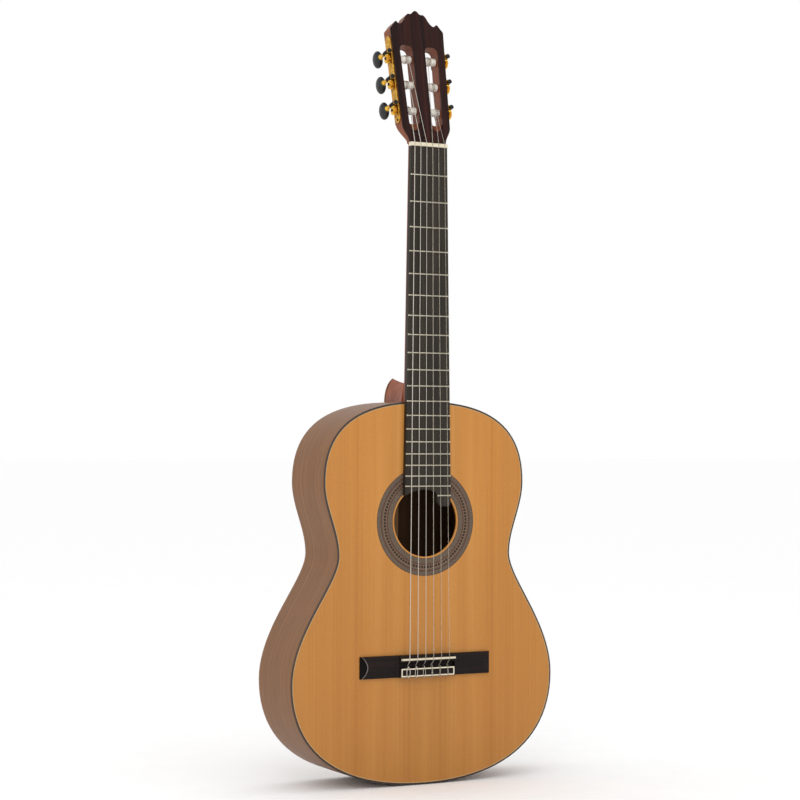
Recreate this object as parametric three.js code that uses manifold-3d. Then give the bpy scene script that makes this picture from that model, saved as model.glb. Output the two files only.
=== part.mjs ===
// Classical guitar, full size, 650 mm string length.
//
// The row frame has +Z up along the neck, -Y out of the soundboard and +X on the treble side.
// The origin is on the end graft at the tail, half way through the body's depth.
// Most pieces are drawn in the body frame, a turned group whose axes are
// x (treble side), height (up the neck) and forward (out of the soundboard).
// The head frame leans back at the nut: x, s (along the head) and n (out of its front face).
// An edge frame lies on each slanted edge of the head: w (outward), u (along the edge) and n.

import * as THREE from 'three';
import { mergeVertices } from 'three/addons/utils/BufferGeometryUtils.js';
import Module from 'manifold-3d';

const wasm = await Module();
wasm.setup();

// ---------------------------------------------------------------- driving dimensions, in mm

const GAP = 0.3;                    // clearance kept between pieces that touch
const SCALE_LENGTH = 650;
const BODY_LENGTH = 487;            // tail to the twelfth fret, where the neck meets the body
const NUT_HEIGHT = BODY_LENGTH + SCALE_LENGTH / 2;
const FRONT = 50;                   // forward position of the soundboard's face
const BACK_AT_TAIL = -50.5;         // forward position of the back, which tapers towards the neck
const BACK_TAPER = 5.5 / BODY_LENGTH;

const LOWER_BOUT = { x: 187.5, height: 133.5 };
const WAIST = { x: 123.8, height: 291.5 };
const UPPER_BOUT = { x: 143.8, height: 384 };

const TOP_THICKNESS = 2.4;
const BACK_THICKNESS = 2.5;
const SIDE_THICKNESS = 2;
const BINDING = { width: 2.3, depth: 4 };
const LINING = { width: 5, depth: 10 };

const HOLE = { height: 334, radius: 45 };
const ROSETTE = { inner: 47.2, outer: 69.5, depth: 1 };

const FINGERBOARD = { atNut: 26, atBody: 31, thickness: 6.7 };
const NUT = { length: 5.2, top: FRONT + 8.6 };
const STRING_AT_NUT = FRONT + 8;
const STRING_AT_SADDLE = FRONT + 12.8;
const NUT_PITCH = 8.6;
const SADDLE_PITCH = 11.4;
const COMPENSATION = 2;             // the saddle's extra distance, which corrects the strings' pitch
const SADDLE_HEIGHT = NUT_HEIGHT - SCALE_LENGTH - COMPENSATION;
const STRING_RADIUS = [0.36, 0.41, 0.51, 0.37, 0.45, 0.55];   // first (treble) to sixth (bass)

const BRIDGE = { halfLength: 93.2, bottom: 137.4, top: 165.1, wing: 3.2, block: 8.5, halfBlock: 39.8 };
const BRIDGE_SCOOP = { radius: 12, beyond: 4, floor: 1.2 };     // hollows that thin the wing tips
const SADDLE = { halfLength: 38.5, halfThickness: 1.25, seat: 3, shoulder: 4.6 };
const TIE_BLOCK = { top: 149, holeRadius: 1.2, holeHeight: 4.6 };
const INLAY = { halfLength: 38, width: 1.6, depth: 0.6, low: 138, high: 148.4 };
const BOARD_END = { middle: 374.5, corner: 367, tongue: 13, rightEdge: 32.4, tip: 353, wide: 10, narrow: 4 };

const GRAFT_HALF_WIDTH = 7;
const TAIL_BLOCK = { halfWidth: 36, depth: 18 };
const HEEL_SLOT = 9;                // the sides run into the heel up to this distance from the middle
const LINING_END = { tail: 36.5, neck: 30.5 };
const CROSS_BAR = { halfWidth: 4, depth: 15, endShare: 0.3, scoopStart: 16, scoopEnd: 26 };
const STRUT = { halfWidth: 3, depth: 6, top: 250, bottom: 52, rise: 5, topSpread: 13, bottomSpread: 36 };
const BRIDGE_PATCH = { halfLength: 100, margin: 2, depth: 2.5 };
const SEAM_STRIP = { halfWidth: 8, bottom: 19, top: 458, depth: 2.5 };

const SHAFT = { atNut: 15, atBody: 17.3, roundness: 1.1 };
const HEEL_CAP = { halfWidth: 12, reach: 31.5, thickness: 2.5 };
const FOOT = { halfWidth: 28, length: 24 };
const SCARF = { height: NUT_HEIGHT + NUT.length + 0.4, angle: THREE.MathUtils.degToRad(17.5) };

const HEAD_TILT = THREE.MathUtils.degToRad(12);
const HEAD_FACE_AT_NUT = FRONT + 4.7;
const HEAD_THICKNESS = 19.5;
const OVERLAY = 2.2;
const HEAD_START = 6.5;
// Place, half width and roundness of sections where the head turns from a round neck to a flat plate.
const NECK_BLEND = [
  [0, 26.4, 1.1],
  [9, 27, 0.9],
  [14, 29, 0.65],
  [19, 31.8, 0.42],
  [24, 34, 0.25],
  [29, 35.4, 0.14],
  [34, 36, 0.08],
];
const EDGE = { low: { x: 34.3, s: 28 }, high: { x: 38.5, s: 160 } };
const SLOT = { inner: 8.5, wall: 10, bottom: 32, top: 139, rampStart: 20, rampDepth: 7, corner: 7 };

const GEAR = { teeth: 14, pitch: 5.5, tip: 6.25, root: 4.6, width: 3.4 };
const LEAD = 2 * Math.PI * GEAR.pitch / GEAR.teeth;
const WORM = { pitch: 2.5, crest: 3.2, root: 1.55, length: 9, journal: 1.3 };
const MESH_DISTANCE = 8;            // gear axis to worm axis
const TUNER_OUT = 5.2;              // from the head's edge to the worm axis and the gear's middle
const TUNER_DEPTH = -9.75;          // n of the roller axis
const STATION = { first: 50, pitch: 35 };
const PLATE = { bottom: 33, length: 118, width: 14.5, thickness: 1 };
const BEARING = { thickness: 1.4, halfWidth: 2.6, beyondWorm: 2.2, bore: 1.6 };
const ROLLER = { radius: 5, shaft: 2, lengths: [15.2, 16.3, 17.4], outerEnd: -10.6, shaftEnd: -31 };
const BUTTON = { length: 23, width: 16, thickness: 12, gap: 7.2 };
const TANG = 8;                     // how far the worm's shaft runs into the button
const LANDING = [19, 17, 14.5];     // x where each string meets its roller, lowest roller first

// ---------------------------------------------------------------- finishes

const FINISH = {
  cedar: { color: 0xc08a4c, roughness: 0.35, metalness: 0 },
  walnut: { color: 0x8c6e52, roughness: 0.35, metalness: 0 },
  mahogany: { color: 0x9b644b, roughness: 0.4, metalness: 0 },
  spruce: { color: 0xd9bd8b, roughness: 0.75, metalness: 0 },
  rosewood: { color: 0x3a221e, roughness: 0.4, metalness: 0 },
  ebony: { color: 0x2c2624, roughness: 0.45, metalness: 0 },
  mosaic: { color: 0x5a4838, roughness: 0.4, metalness: 0 },
  blackTrim: { color: 0x1b1817, roughness: 0.3, metalness: 0 },
  bone: { color: 0xe6dcc3, roughness: 0.45, metalness: 0 },
  nylon: { color: 0xd8d2c4, roughness: 0.25, metalness: 0 },
  woundString: { color: 0xb4b0a6, roughness: 0.35, metalness: 0.8 },
  gold: { color: 0xc89b3c, roughness: 0.3, metalness: 1 },
  blackSteel: { color: 0x1e1d1c, roughness: 0.35, metalness: 0.6 },
  blackButton: { color: 0x2b2e2b, roughness: 0.3, metalness: 0 },
  rollerWhite: { color: 0xd2cdc3, roughness: 0.4, metalness: 0 },
};

const guitar = new THREE.Group();
const bodyFrame = new THREE.Group();
bodyFrame.rotation.x = Math.PI / 2;
guitar.add(bodyFrame);

const headFrame = new THREE.Group();
headFrame.position.set(0, NUT_HEIGHT, HEAD_FACE_AT_NUT);
headFrame.rotation.x = -HEAD_TILT;
headFrame.updateMatrix();
bodyFrame.add(headFrame);

function place(name, geometry, finish, frame = bodyFrame) {
  const mesh = new THREE.Mesh(geometry, new THREE.MeshStandardMaterial(FINISH[finish]));
  mesh.name = name;
  frame.add(mesh);
  return mesh;
}

// ---------------------------------------------------------------- solid helpers

function toManifold(geometry) {
  const bare = geometry.clone();
  bare.deleteAttribute('normal');
  bare.deleteAttribute('uv');
  const merged = mergeVertices(bare, 1e-4);
  const mesh = new wasm.Mesh({
    numProp: 3,
    vertProperties: new Float32Array(merged.attributes.position.array),
    triVerts: new Uint32Array(merged.index.array),
  });
  return new wasm.Manifold(mesh);
}

function toGeometry(manifold) {
  const mesh = manifold.getMesh();
  const geometry = new THREE.BufferGeometry();
  geometry.setAttribute('position', new THREE.BufferAttribute(mesh.vertProperties, 3));
  geometry.setIndex(new THREE.BufferAttribute(mesh.triVerts, 1));
  geometry.computeVertexNormals();
  return geometry;
}

function joined(...geometries) {
  return toGeometry(geometries.map(toManifold).reduce((sum, next) => sum.add(next)));
}

function cut(geometry, ...tools) {
  const blank = toManifold(geometry);
  return toGeometry(tools.map(toManifold).reduce((rest, tool) => rest.subtract(tool), blank));
}

function common(geometry, tool) {
  return toGeometry(toManifold(geometry).intersect(toManifold(tool)));
}

// A box between two corners.
function block(x, y, z) {
  const box = new THREE.BoxGeometry(x[1] - x[0], y[1] - y[0], z[1] - z[0]);
  return box.translate((x[0] + x[1]) / 2, (y[0] + y[1]) / 2, (z[0] + z[1]) / 2);
}

// A flat outline given thickness; each face is a number or a function of height.
function layer(shape, back, front) {
  const at = (face, height) => (typeof face === 'function' ? face(height) : face);
  const geometry = new THREE.ExtrudeGeometry(shape, { depth: 1, bevelEnabled: false, curveSegments: 10 });
  const position = geometry.attributes.position;
  for (let i = 0; i < position.count; i += 1) {
    const height = position.getY(i);
    const low = at(back, height);
    position.setZ(i, low + position.getZ(i) * (at(front, height) - low));
  }
  return geometry;
}

// A closed skin through rings with equal numbers of points, capped at both ends.
function loft(rings) {
  const count = rings[0].length;
  const points = rings.flat();
  const middles = [rings[0], rings[rings.length - 1]].map((ring) => {
    const middle = new THREE.Vector3();
    ring.forEach((point) => middle.addScaledVector(point, 1 / count));
    return middle;
  });
  const index = [];
  for (let r = 0; r + 1 < rings.length; r += 1) {
    for (let i = 0; i < count; i += 1) {
      const a = r * count + i;
      const b = r * count + (i + 1) % count;
      index.push(a, b, b + count, a, b + count, a + count);
    }
  }
  const top = (rings.length - 1) * count;
  for (let i = 0; i < count; i += 1) {
    const next = (i + 1) % count;
    index.push(points.length, next, i);
    index.push(points.length + 1, top + i, top + next);
  }
  const geometry = new THREE.BufferGeometry().setFromPoints([...points, ...middles]);
  geometry.setIndex(index);
  return facingOut(geometry);
}

function reversed(geometry) {
  const index = geometry.index.array;
  for (let i = 0; i < index.length; i += 3) {
    [index[i + 1], index[i + 2]] = [index[i + 2], index[i + 1]];
  }
  return geometry;
}

function facingOut(geometry) {
  const position = geometry.attributes.position;
  const index = geometry.index.array;
  const corner = (i) => new THREE.Vector3().fromBufferAttribute(position, index[i]);
  let volume = 0;
  for (let i = 0; i < index.length; i += 3) {
    volume += corner(i).dot(corner(i + 1).cross(corner(i + 2)));
  }
  if (volume < 0) reversed(geometry);
  geometry.computeVertexNormals();
  return geometry;
}

// ---------------------------------------------------------------- body outline

const backAt = (height) => BACK_AT_TAIL + BACK_TAPER * height;

// Half of the plantilla as four curves through the tail, bout, waist, bout and neck joint.
const halfOutline = new THREE.CurvePath();
[
  [[0, 0], [124.7, 0], [LOWER_BOUT.x, 53], [LOWER_BOUT.x, LOWER_BOUT.height]],
  [[LOWER_BOUT.x, LOWER_BOUT.height], [LOWER_BOUT.x, 198.5], [WAIST.x, 258], [WAIST.x, WAIST.height]],
  [[WAIST.x, WAIST.height], [WAIST.x, 322.5], [UPPER_BOUT.x, 351.8], [UPPER_BOUT.x, UPPER_BOUT.height]],
  [[UPPER_BOUT.x, UPPER_BOUT.height], [UPPER_BOUT.x, 440.6], [114, BODY_LENGTH], [0, BODY_LENGTH]],
].forEach((points) => {
  halfOutline.add(new THREE.CubicBezierCurve(...points.map(([x, y]) => new THREE.Vector2(x, y))));
});

const STEPS_PER_CURVE = 7;

// The treble half of the outline moved inwards, from the tail to the neck.
function halfEdge(inset) {
  const points = [];
  halfOutline.curves.forEach((curve, part) => {
    for (let i = part ? 1 : 0; i <= STEPS_PER_CURVE; i += 1) {
      const t = i / STEPS_PER_CURVE;
      const tangent = curve.getTangent(t);
      const point = curve.getPoint(t);
      points.push(new THREE.Vector2(point.x - tangent.y * inset, point.y + tangent.x * inset));
    }
  });
  points[0].x = 0;
  points[points.length - 1].x = 0;
  return points;
}

const mirrorX = (points) => points.map((p) => new THREE.Vector2(-p.x, p.y)).reverse();

function outline(inset) {
  const half = halfEdge(inset);
  return new THREE.Shape([...half, ...mirrorX(half).slice(1, -1)]);
}

// The half edge between the point at x = tail near the tail and x = neck near the neck.
function clippedEdge(inset, tail, neck) {
  const half = halfEdge(inset);
  const crossing = (a, b, x) => a.clone().lerp(b, (x - a.x) / (b.x - a.x));
  const first = half.findIndex((p) => p.x > tail);
  const last = half.findLastIndex((p) => p.x > neck);
  return [
    crossing(half[first - 1], half[first], tail),
    ...half.slice(first, last + 1),
    crossing(half[last], half[last + 1], neck),
  ];
}

// A strip that follows one side of the body between two insets.
function strip(side, outer, inner, tail, neck) {
  const points = [...clippedEdge(outer, tail, neck), ...clippedEdge(inner, tail, neck).reverse()];
  return new THREE.Shape(side > 0 ? points : mirrorX(points));
}

function ring(outer, inner) {
  const shape = outline(outer);
  shape.holes.push(new THREE.Path(outline(inner).getPoints()));
  return shape;
}

function disc(radius, height, segments) {
  const shape = new THREE.Shape();
  for (let i = 0; i < segments; i += 1) {
    const angle = 2 * Math.PI * i / segments;
    const move = i ? 'lineTo' : 'moveTo';
    shape[move](radius * Math.cos(angle), height + radius * Math.sin(angle));
  }
  return shape;
}

// ---------------------------------------------------------------- sound box

const PLATE_INSET = BINDING.width + GAP;
const innerFace = FRONT - TOP_THICKNESS - GAP;            // against the inside of the soundboard
const innerBack = (height) => backAt(height) + BACK_THICKNESS + GAP;
const CIRCLE = 32;

function makeSoundboard() {
  const channelFloor = FRONT - ROSETTE.depth - GAP;
  const channel = layer(disc(ROSETTE.outer + GAP, HOLE.height, CIRCLE), channelFloor, FRONT + 1);
  const core = layer(disc(ROSETTE.inner - GAP, HOLE.height, CIRCLE), 0, FRONT + 2);
  const hole = layer(disc(HOLE.radius, HOLE.height, CIRCLE), 0, FRONT + 3);
  const plate = layer(outline(PLATE_INSET), FRONT - TOP_THICKNESS, FRONT);
  place('soundboard', cut(plate, cut(channel, core), hole), 'cedar');
}

function makeBackPlate() {
  const inside = (height) => backAt(height) + BACK_THICKNESS;
  place('back_plate', layer(outline(PLATE_INSET), backAt, inside), 'walnut');
}

function makeRosette() {
  const shape = disc(ROSETTE.outer, HOLE.height, CIRCLE);
  shape.holes.push(new THREE.Path(disc(ROSETTE.inner, HOLE.height, CIRCLE).getPoints()));
  place('rosette', layer(shape, FRONT - ROSETTE.depth, FRONT), 'mosaic');
}

function makeBindings() {
  const band = ring(0, BINDING.width);
  place('top_binding', layer(band, FRONT - BINDING.depth, FRONT), 'blackTrim');
  place('back_binding', layer(band, backAt, (height) => backAt(height) + BINDING.depth), 'blackTrim');
}

function makeSides() {
  const low = (height) => backAt(height) + BINDING.depth + GAP;
  const high = FRONT - BINDING.depth - GAP;
  [['side_treble', 1], ['side_bass', -1]].forEach(([name, side]) => {
    const wall = strip(side, 0, SIDE_THICKNESS, GRAFT_HALF_WIDTH + GAP, HEEL_SLOT);
    place(name, layer(wall, low, high), 'walnut');
  });
  const graft = new THREE.Shape([[-1, 0], [1, 0], [1, 1], [-1, 1]].map(
    ([x, y]) => new THREE.Vector2(x * GRAFT_HALF_WIDTH, y * SIDE_THICKNESS),
  ));
  place('end_graft', layer(graft, low, high), 'blackTrim');
}

function makeLinings() {
  [['treble', 1], ['bass', -1]].forEach(([side, sign]) => {
    const band = strip(sign, PLATE_INSET, PLATE_INSET + LINING.width, LINING_END.tail, LINING_END.neck);
    place(`top_lining_${side}`, layer(band, innerFace - LINING.depth, innerFace), 'spruce');
    place(`back_lining_${side}`, layer(band, innerBack, (h) => innerBack(h) + LINING.depth), 'spruce');
  });
}

function makeTailBlock() {
  const { halfWidth, depth } = TAIL_BLOCK;
  const half = halfEdge(PLATE_INSET);
  const next = half.findIndex((p) => p.x > halfWidth);
  const before = half[next - 1];
  const corner = before.clone().lerp(half[next], (halfWidth - before.x) / (half[next].x - before.x));
  const edge = [...half.slice(0, next), corner, new THREE.Vector2(halfWidth, depth)];
  const shape = new THREE.Shape([...mirrorX(edge), ...edge.slice(1)]);
  place('tail_block', layer(shape, innerBack, innerFace), 'mahogany');
}

// A bar with scalloped ends, glued across the inside of a plate.
function crossBar(height, halfLength, foot, top) {
  const { halfWidth, endShare, scoopStart, scoopEnd } = CROSS_BAR;
  const profile = new THREE.Shape();
  const end = foot + (top - foot) * endShare;
  profile.moveTo(-halfLength, foot);
  profile.lineTo(-halfLength, end);
  profile.quadraticCurveTo(-halfLength + scoopStart, end, -halfLength + scoopEnd, top);
  profile.lineTo(halfLength - scoopEnd, top);
  profile.quadraticCurveTo(halfLength - scoopStart, end, halfLength, end);
  profile.lineTo(halfLength, foot);
  const options = { depth: 2 * halfWidth, bevelEnabled: false, curveSegments: 3 };
  const bar = new THREE.ExtrudeGeometry(profile, options);
  return bar.translate(0, 0, -halfWidth).rotateX(Math.PI / 2).translate(0, height, 0);
}

function makeTopBars() {
  place('upper_harmonic_bar', crossBar(418, 125, innerFace, innerFace - CROSS_BAR.depth), 'spruce');
  place('lower_harmonic_bar', crossBar(262, 122, innerFace, innerFace - CROSS_BAR.depth), 'spruce');
}

// Seven struts that fan out behind the bridge, joined by a flat patch under it.
function makeFanBracing() {
  const struts = [-3, -2, -1, 0, 1, 2, 3].map((rank) => {
    const bottom = STRUT.bottom + STRUT.rise * Math.abs(rank);
    const points = [
      [rank * STRUT.bottomSpread - STRUT.halfWidth, bottom],
      [rank * STRUT.bottomSpread + STRUT.halfWidth, bottom],
      [rank * STRUT.topSpread + STRUT.halfWidth, STRUT.top],
      [rank * STRUT.topSpread - STRUT.halfWidth, STRUT.top],
    ];
    const shape = new THREE.Shape(points.map(([x, y]) => new THREE.Vector2(x, y)));
    return layer(shape, innerFace - STRUT.depth, innerFace);
  });
  const { halfLength, margin, depth } = BRIDGE_PATCH;
  const patch = block([-halfLength, halfLength], [BRIDGE.bottom - margin, BRIDGE.top + margin],
    [innerFace - depth, innerFace]);
  place('fan_bracing', joined(patch, ...struts), 'spruce');
}

// Three cross bars joined by the strip that covers the back's centre seam.
function makeBackBracing() {
  const { halfWidth, bottom, top, depth } = SEAM_STRIP;
  const seam = block([-halfWidth, halfWidth], [bottom, top], [0, depth]);
  const bars = [[108, 172], [262, 122], [412, 126]].map(([height, half]) => crossBar(height, half, 0, 14));
  const bracing = joined(seam, ...bars);
  const position = bracing.attributes.position;
  for (let i = 0; i < position.count; i += 1) {
    position.setZ(i, position.getZ(i) + innerBack(position.getY(i)));
  }
  place('back_bracing', bracing, 'spruce');
}

// ---------------------------------------------------------------- neck and heel

const boardHalfWidth = (height) =>
  FINGERBOARD.atNut + (FINGERBOARD.atBody - FINGERBOARD.atNut) * (NUT_HEIGHT - height) / (SCALE_LENGTH / 2);

// A half-round section of the neck shaft, flat under the fingerboard.
function shaftSection(height) {
  const alongBoard = Math.min(height, NUT_HEIGHT);
  const halfWidth = boardHalfWidth(alongBoard);
  const depth = SHAFT.atNut + (SHAFT.atBody - SHAFT.atNut) * (NUT_HEIGHT - alongBoard) / (SCALE_LENGTH / 2);
  const points = [];
  for (let i = 0; i <= 14; i += 1) {
    const angle = Math.PI * i / 14;
    const forward = FRONT - depth * Math.sin(angle) ** SHAFT.roundness;
    points.push(new THREE.Vector3(halfWidth * Math.cos(angle), height, forward));
  }
  return points;
}

// A pointed arch in the plane of the back; low is its straight side against the body.
function heelArch(halfWidth, low, reach, forward) {
  const half = new THREE.QuadraticBezierCurve(
    new THREE.Vector2(halfWidth, low),
    new THREE.Vector2(halfWidth * 0.95, low + 0.72 * (reach - low)),
    new THREE.Vector2(0, reach),
  ).getPoints(6);
  const arch = [...half, ...mirrorX(half).slice(1)];
  return arch.map((p) => new THREE.Vector3(p.x, BODY_LENGTH + p.y, forward));
}

// Half width and reach along the neck at depths from the cap to the shaft.
function heelSections() {
  const cap = backAt(BODY_LENGTH) + HEEL_CAP.thickness + GAP;
  return [
    [cap, HEEL_CAP.halfWidth, HEEL_CAP.reach],
    [-30, 12.2, 28.5],
    [-12, 13, 25],
    [6, 15, 23.3],
    [20, 19, 25],
    [29, 24.5, 33],
    [35, 29, 46],
    [40, 30.5, 66],
  ].map(([forward, halfWidth, reach]) => heelArch(halfWidth, -12, reach, forward));
}

// Everything behind the slanted glue line between neck and headstock.
function behindScarf(offset) {
  const half = new THREE.BoxGeometry(300, 600, 120).translate(0, 0, -60 + offset);
  return half.rotateX(SCARF.angle).translate(0, SCARF.height, FRONT);
}

function makeNeck() {
  const shaft = loft([BODY_LENGTH - 12, NUT_HEIGHT, NUT_HEIGHT + 9].map(shaftSection));
  const heel = loft(heelSections());
  const bodyRoom = layer(outline(-GAP), (height) => backAt(height) - 1, FRONT + 1);
  const outside = cut(joined(shaft, heel), bodyRoom, behindScarf(GAP / 2));
  const slotRoom = HEEL_SLOT - GAP;
  const low = backAt(BODY_LENGTH) + BINDING.depth + GAP + 0.2;
  const high = FRONT - BINDING.depth - GAP;
  const tenon = block([-slotRoom, slotRoom], [BODY_LENGTH - 5, BODY_LENGTH + 3], [low, high]);
  const inside = block([-FOOT.halfWidth, FOOT.halfWidth],
    [BODY_LENGTH - FOOT.length, BODY_LENGTH - SIDE_THICKNESS - 2.4], [low, high]);
  place('neck', joined(outside, tenon, inside), 'mahogany');

  const arch = heelArch(HEEL_CAP.halfWidth, GAP, HEEL_CAP.reach, 0).map((p) => new THREE.Vector2(p.x, p.y));
  const capBack = backAt(BODY_LENGTH);
  place('heel_cap', layer(new THREE.Shape(arch), capBack, capBack + HEEL_CAP.thickness), 'walnut');
}

// ---------------------------------------------------------------- headstock

// Half of the head's outline in its own plane, from the nut to the crest.
function headShape() {
  const path = new THREE.Path();
  path.moveTo(FINGERBOARD.atNut, HEAD_START);
  path.bezierCurveTo(27, 15, 33.6, 19, EDGE.low.x, EDGE.low.s);
  path.lineTo(EDGE.high.x, EDGE.high.s);
  path.quadraticCurveTo(34.5, 163.5, 29.5, 169.7);
  path.bezierCurveTo(26, 165.5, 22.5, 165.5, 17, 174);
  path.quadraticCurveTo(13.5, 182, 10, 182);
  path.quadraticCurveTo(6, 181, 4, 184.5);
  path.quadraticCurveTo(2, 187, 0, 187);
  const half = path.getPoints(4);
  return new THREE.Shape([...half, ...mirrorX(half).slice(1)]);
}

const edgeSlope = (EDGE.high.x - EDGE.low.x) / (EDGE.high.s - EDGE.low.s);
const edgeX = (s) => EDGE.low.x + (s - EDGE.low.s) * edgeSlope;
const EDGE_ANGLE = Math.atan(edgeSlope);

// One string slot, seen from the front, with rounded upper corners.
function slotShape(side) {
  const outer = (s) => edgeX(s) - SLOT.wall;
  const path = new THREE.Path();
  path.moveTo(SLOT.inner, SLOT.bottom);
  path.lineTo(outer(SLOT.bottom), SLOT.bottom);
  path.lineTo(outer(SLOT.top - SLOT.corner), SLOT.top - SLOT.corner);
  path.quadraticCurveTo(outer(SLOT.top), SLOT.top, outer(SLOT.top) - SLOT.corner, SLOT.top);
  path.lineTo(SLOT.inner + SLOT.corner, SLOT.top);
  path.quadraticCurveTo(SLOT.inner, SLOT.top, SLOT.inner, SLOT.top - SLOT.corner);
  const points = path.getPoints(4);
  return new THREE.Shape(side > 0 ? points : mirrorX(points));
}

// The sloping floor that leads the strings from the nut into a slot.
function rampTool(side) {
  const wedge = new THREE.Shape([
    new THREE.Vector2(SLOT.rampStart, 0),
    new THREE.Vector2(SLOT.bottom + 2, -SLOT.rampDepth),
    new THREE.Vector2(SLOT.bottom + 2, 3),
    new THREE.Vector2(SLOT.rampStart, 3),
  ]);
  const width = edgeX(SLOT.bottom) - SLOT.wall - SLOT.inner;
  const tool = new THREE.ExtrudeGeometry(wedge, { depth: width, bevelEnabled: false });
  const axes = new THREE.Matrix4().makeBasis(
    new THREE.Vector3(0, 1, 0),
    new THREE.Vector3(0, 0, 1),
    new THREE.Vector3(1, 0, 0),
  );
  const centre = side * (SLOT.inner + width / 2);
  return tool.applyMatrix4(axes).translate(centre - width / 2, 0, 0);
}

// Places a geometry drawn in the treble edge frame into the head frame, or its mirror image.
function atEdge(geometry, side) {
  const turned = geometry.clone().rotateZ(-EDGE_ANGLE).translate(edgeX(0), 0, 0);
  return side > 0 ? turned : mirrored(turned);
}

function mirrored(geometry) {
  const copy = geometry.index ? geometry.clone() : mergeVertices(geometry.clone());
  copy.scale(-1, 1, 1);
  reversed(copy);
  copy.computeVertexNormals();
  return copy;
}

function cylinder(radius, from, to, segments) {
  const round = new THREE.CylinderGeometry(radius, radius, to - from, segments);
  return round.translate(0, (from + to) / 2, 0);
}

const stationAt = (index) => STATION.first + STATION.pitch * index;

// The room that the carved transition from neck to head leaves for the plate.
function headRoom() {
  const front = FRONT - HEAD_FACE_AT_NUT;
  const depth = HEAD_THICKNESS + front + GAP;
  const steps = 14;
  const rings = NECK_BLEND.map(([s, halfWidth, roundness]) => {
    const ring = [new THREE.Vector3(halfWidth, s, 2)];
    for (let i = 0; i <= steps; i += 1) {
      const rise = Math.sin(Math.PI * Math.min(i, steps - i) / steps) ** roundness;
      ring.push(new THREE.Vector3(halfWidth * Math.cos(Math.PI * i / steps), s, front - depth * rise));
    }
    ring.push(new THREE.Vector3(-halfWidth, s, 2));
    return ring;
  });
  const above = NECK_BLEND[NECK_BLEND.length - 1][0] - 1;
  return joined(loft(rings), block([-50, 50], [above, 200], [-30, 5]));
}

function makeHead() {
  const slots = [1, -1].map((side) => layer(slotShape(side), -HEAD_THICKNESS - 1, 1));
  const ramps = [1, -1].map(rampTool);
  const bores = [1, -1].flatMap((side) => [0, 1, 2].map((index) => {
    const bore = cylinder(ROLLER.shaft + GAP, -31.5, 2, 8).rotateZ(-Math.PI / 2);
    return atEdge(bore.translate(0, stationAt(index), TUNER_DEPTH), side);
  }));
  const plate = common(layer(headShape(), -HEAD_THICKNESS, -OVERLAY - GAP), headRoom());
  const blank = cut(plate, ...slots, ...ramps, ...bores).applyMatrix4(headFrame.matrix);
  const shaft = loft([BODY_LENGTH, NUT_HEIGHT, NUT_HEIGHT + 9].map(shaftSection));
  place('headstock', joined(common(shaft, behindScarf(-GAP / 2)), blank), 'mahogany');
  const overlay = layer(headShape(), -OVERLAY, 0);
  place('headstock_overlay', cut(overlay, ...slots, ...ramps), 'rosewood', headFrame);
}

// ---------------------------------------------------------------- fingerboard, nut, bridge

function makeFingerboard() {
  const { middle, corner, tongue, rightEdge, tip, wide, narrow } = BOARD_END;
  const half = boardHalfWidth(corner);
  const shape = new THREE.Shape();
  shape.moveTo(-FINGERBOARD.atNut, NUT_HEIGHT - GAP);
  shape.lineTo(-half, corner);
  shape.quadraticCurveTo(-half / 2, middle, -tongue / 2, middle);
  shape.quadraticCurveTo(tongue, middle, tongue, corner);
  shape.quadraticCurveTo(tongue, tip, tongue + wide, tip);
  shape.lineTo(rightEdge - narrow, tip);
  shape.quadraticCurveTo(rightEdge, tip, rightEdge, tip + narrow);
  shape.lineTo(half, corner);
  shape.lineTo(FINGERBOARD.atNut, NUT_HEIGHT - GAP);
  place('fingerboard', layer(shape, FRONT + GAP, FRONT + FINGERBOARD.thickness), 'ebony');
}

// Across the neck, string 1 is on the treble side and string 6 on the bass side.
const stringX = (number, pitch) => (3.5 - number) * pitch;
const STRINGS = [1, 2, 3, 4, 5, 6];

function makeNut() {
  const grooves = STRINGS.map((number) => {
    const radius = STRING_RADIUS[number - 1] + GAP;
    const x = stringX(number, NUT_PITCH);
    return block([x - radius, x + radius], [NUT_HEIGHT - 1, NUT_HEIGHT + NUT.length + 1],
      [STRING_AT_NUT - radius, NUT.top + 1]);
  });
  const bar = block([-FINGERBOARD.atNut, FINGERBOARD.atNut], [NUT_HEIGHT, NUT_HEIGHT + NUT.length],
    [FRONT + GAP, NUT.top]);
  place('nut', cut(bar, ...grooves), 'bone');
}

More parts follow.
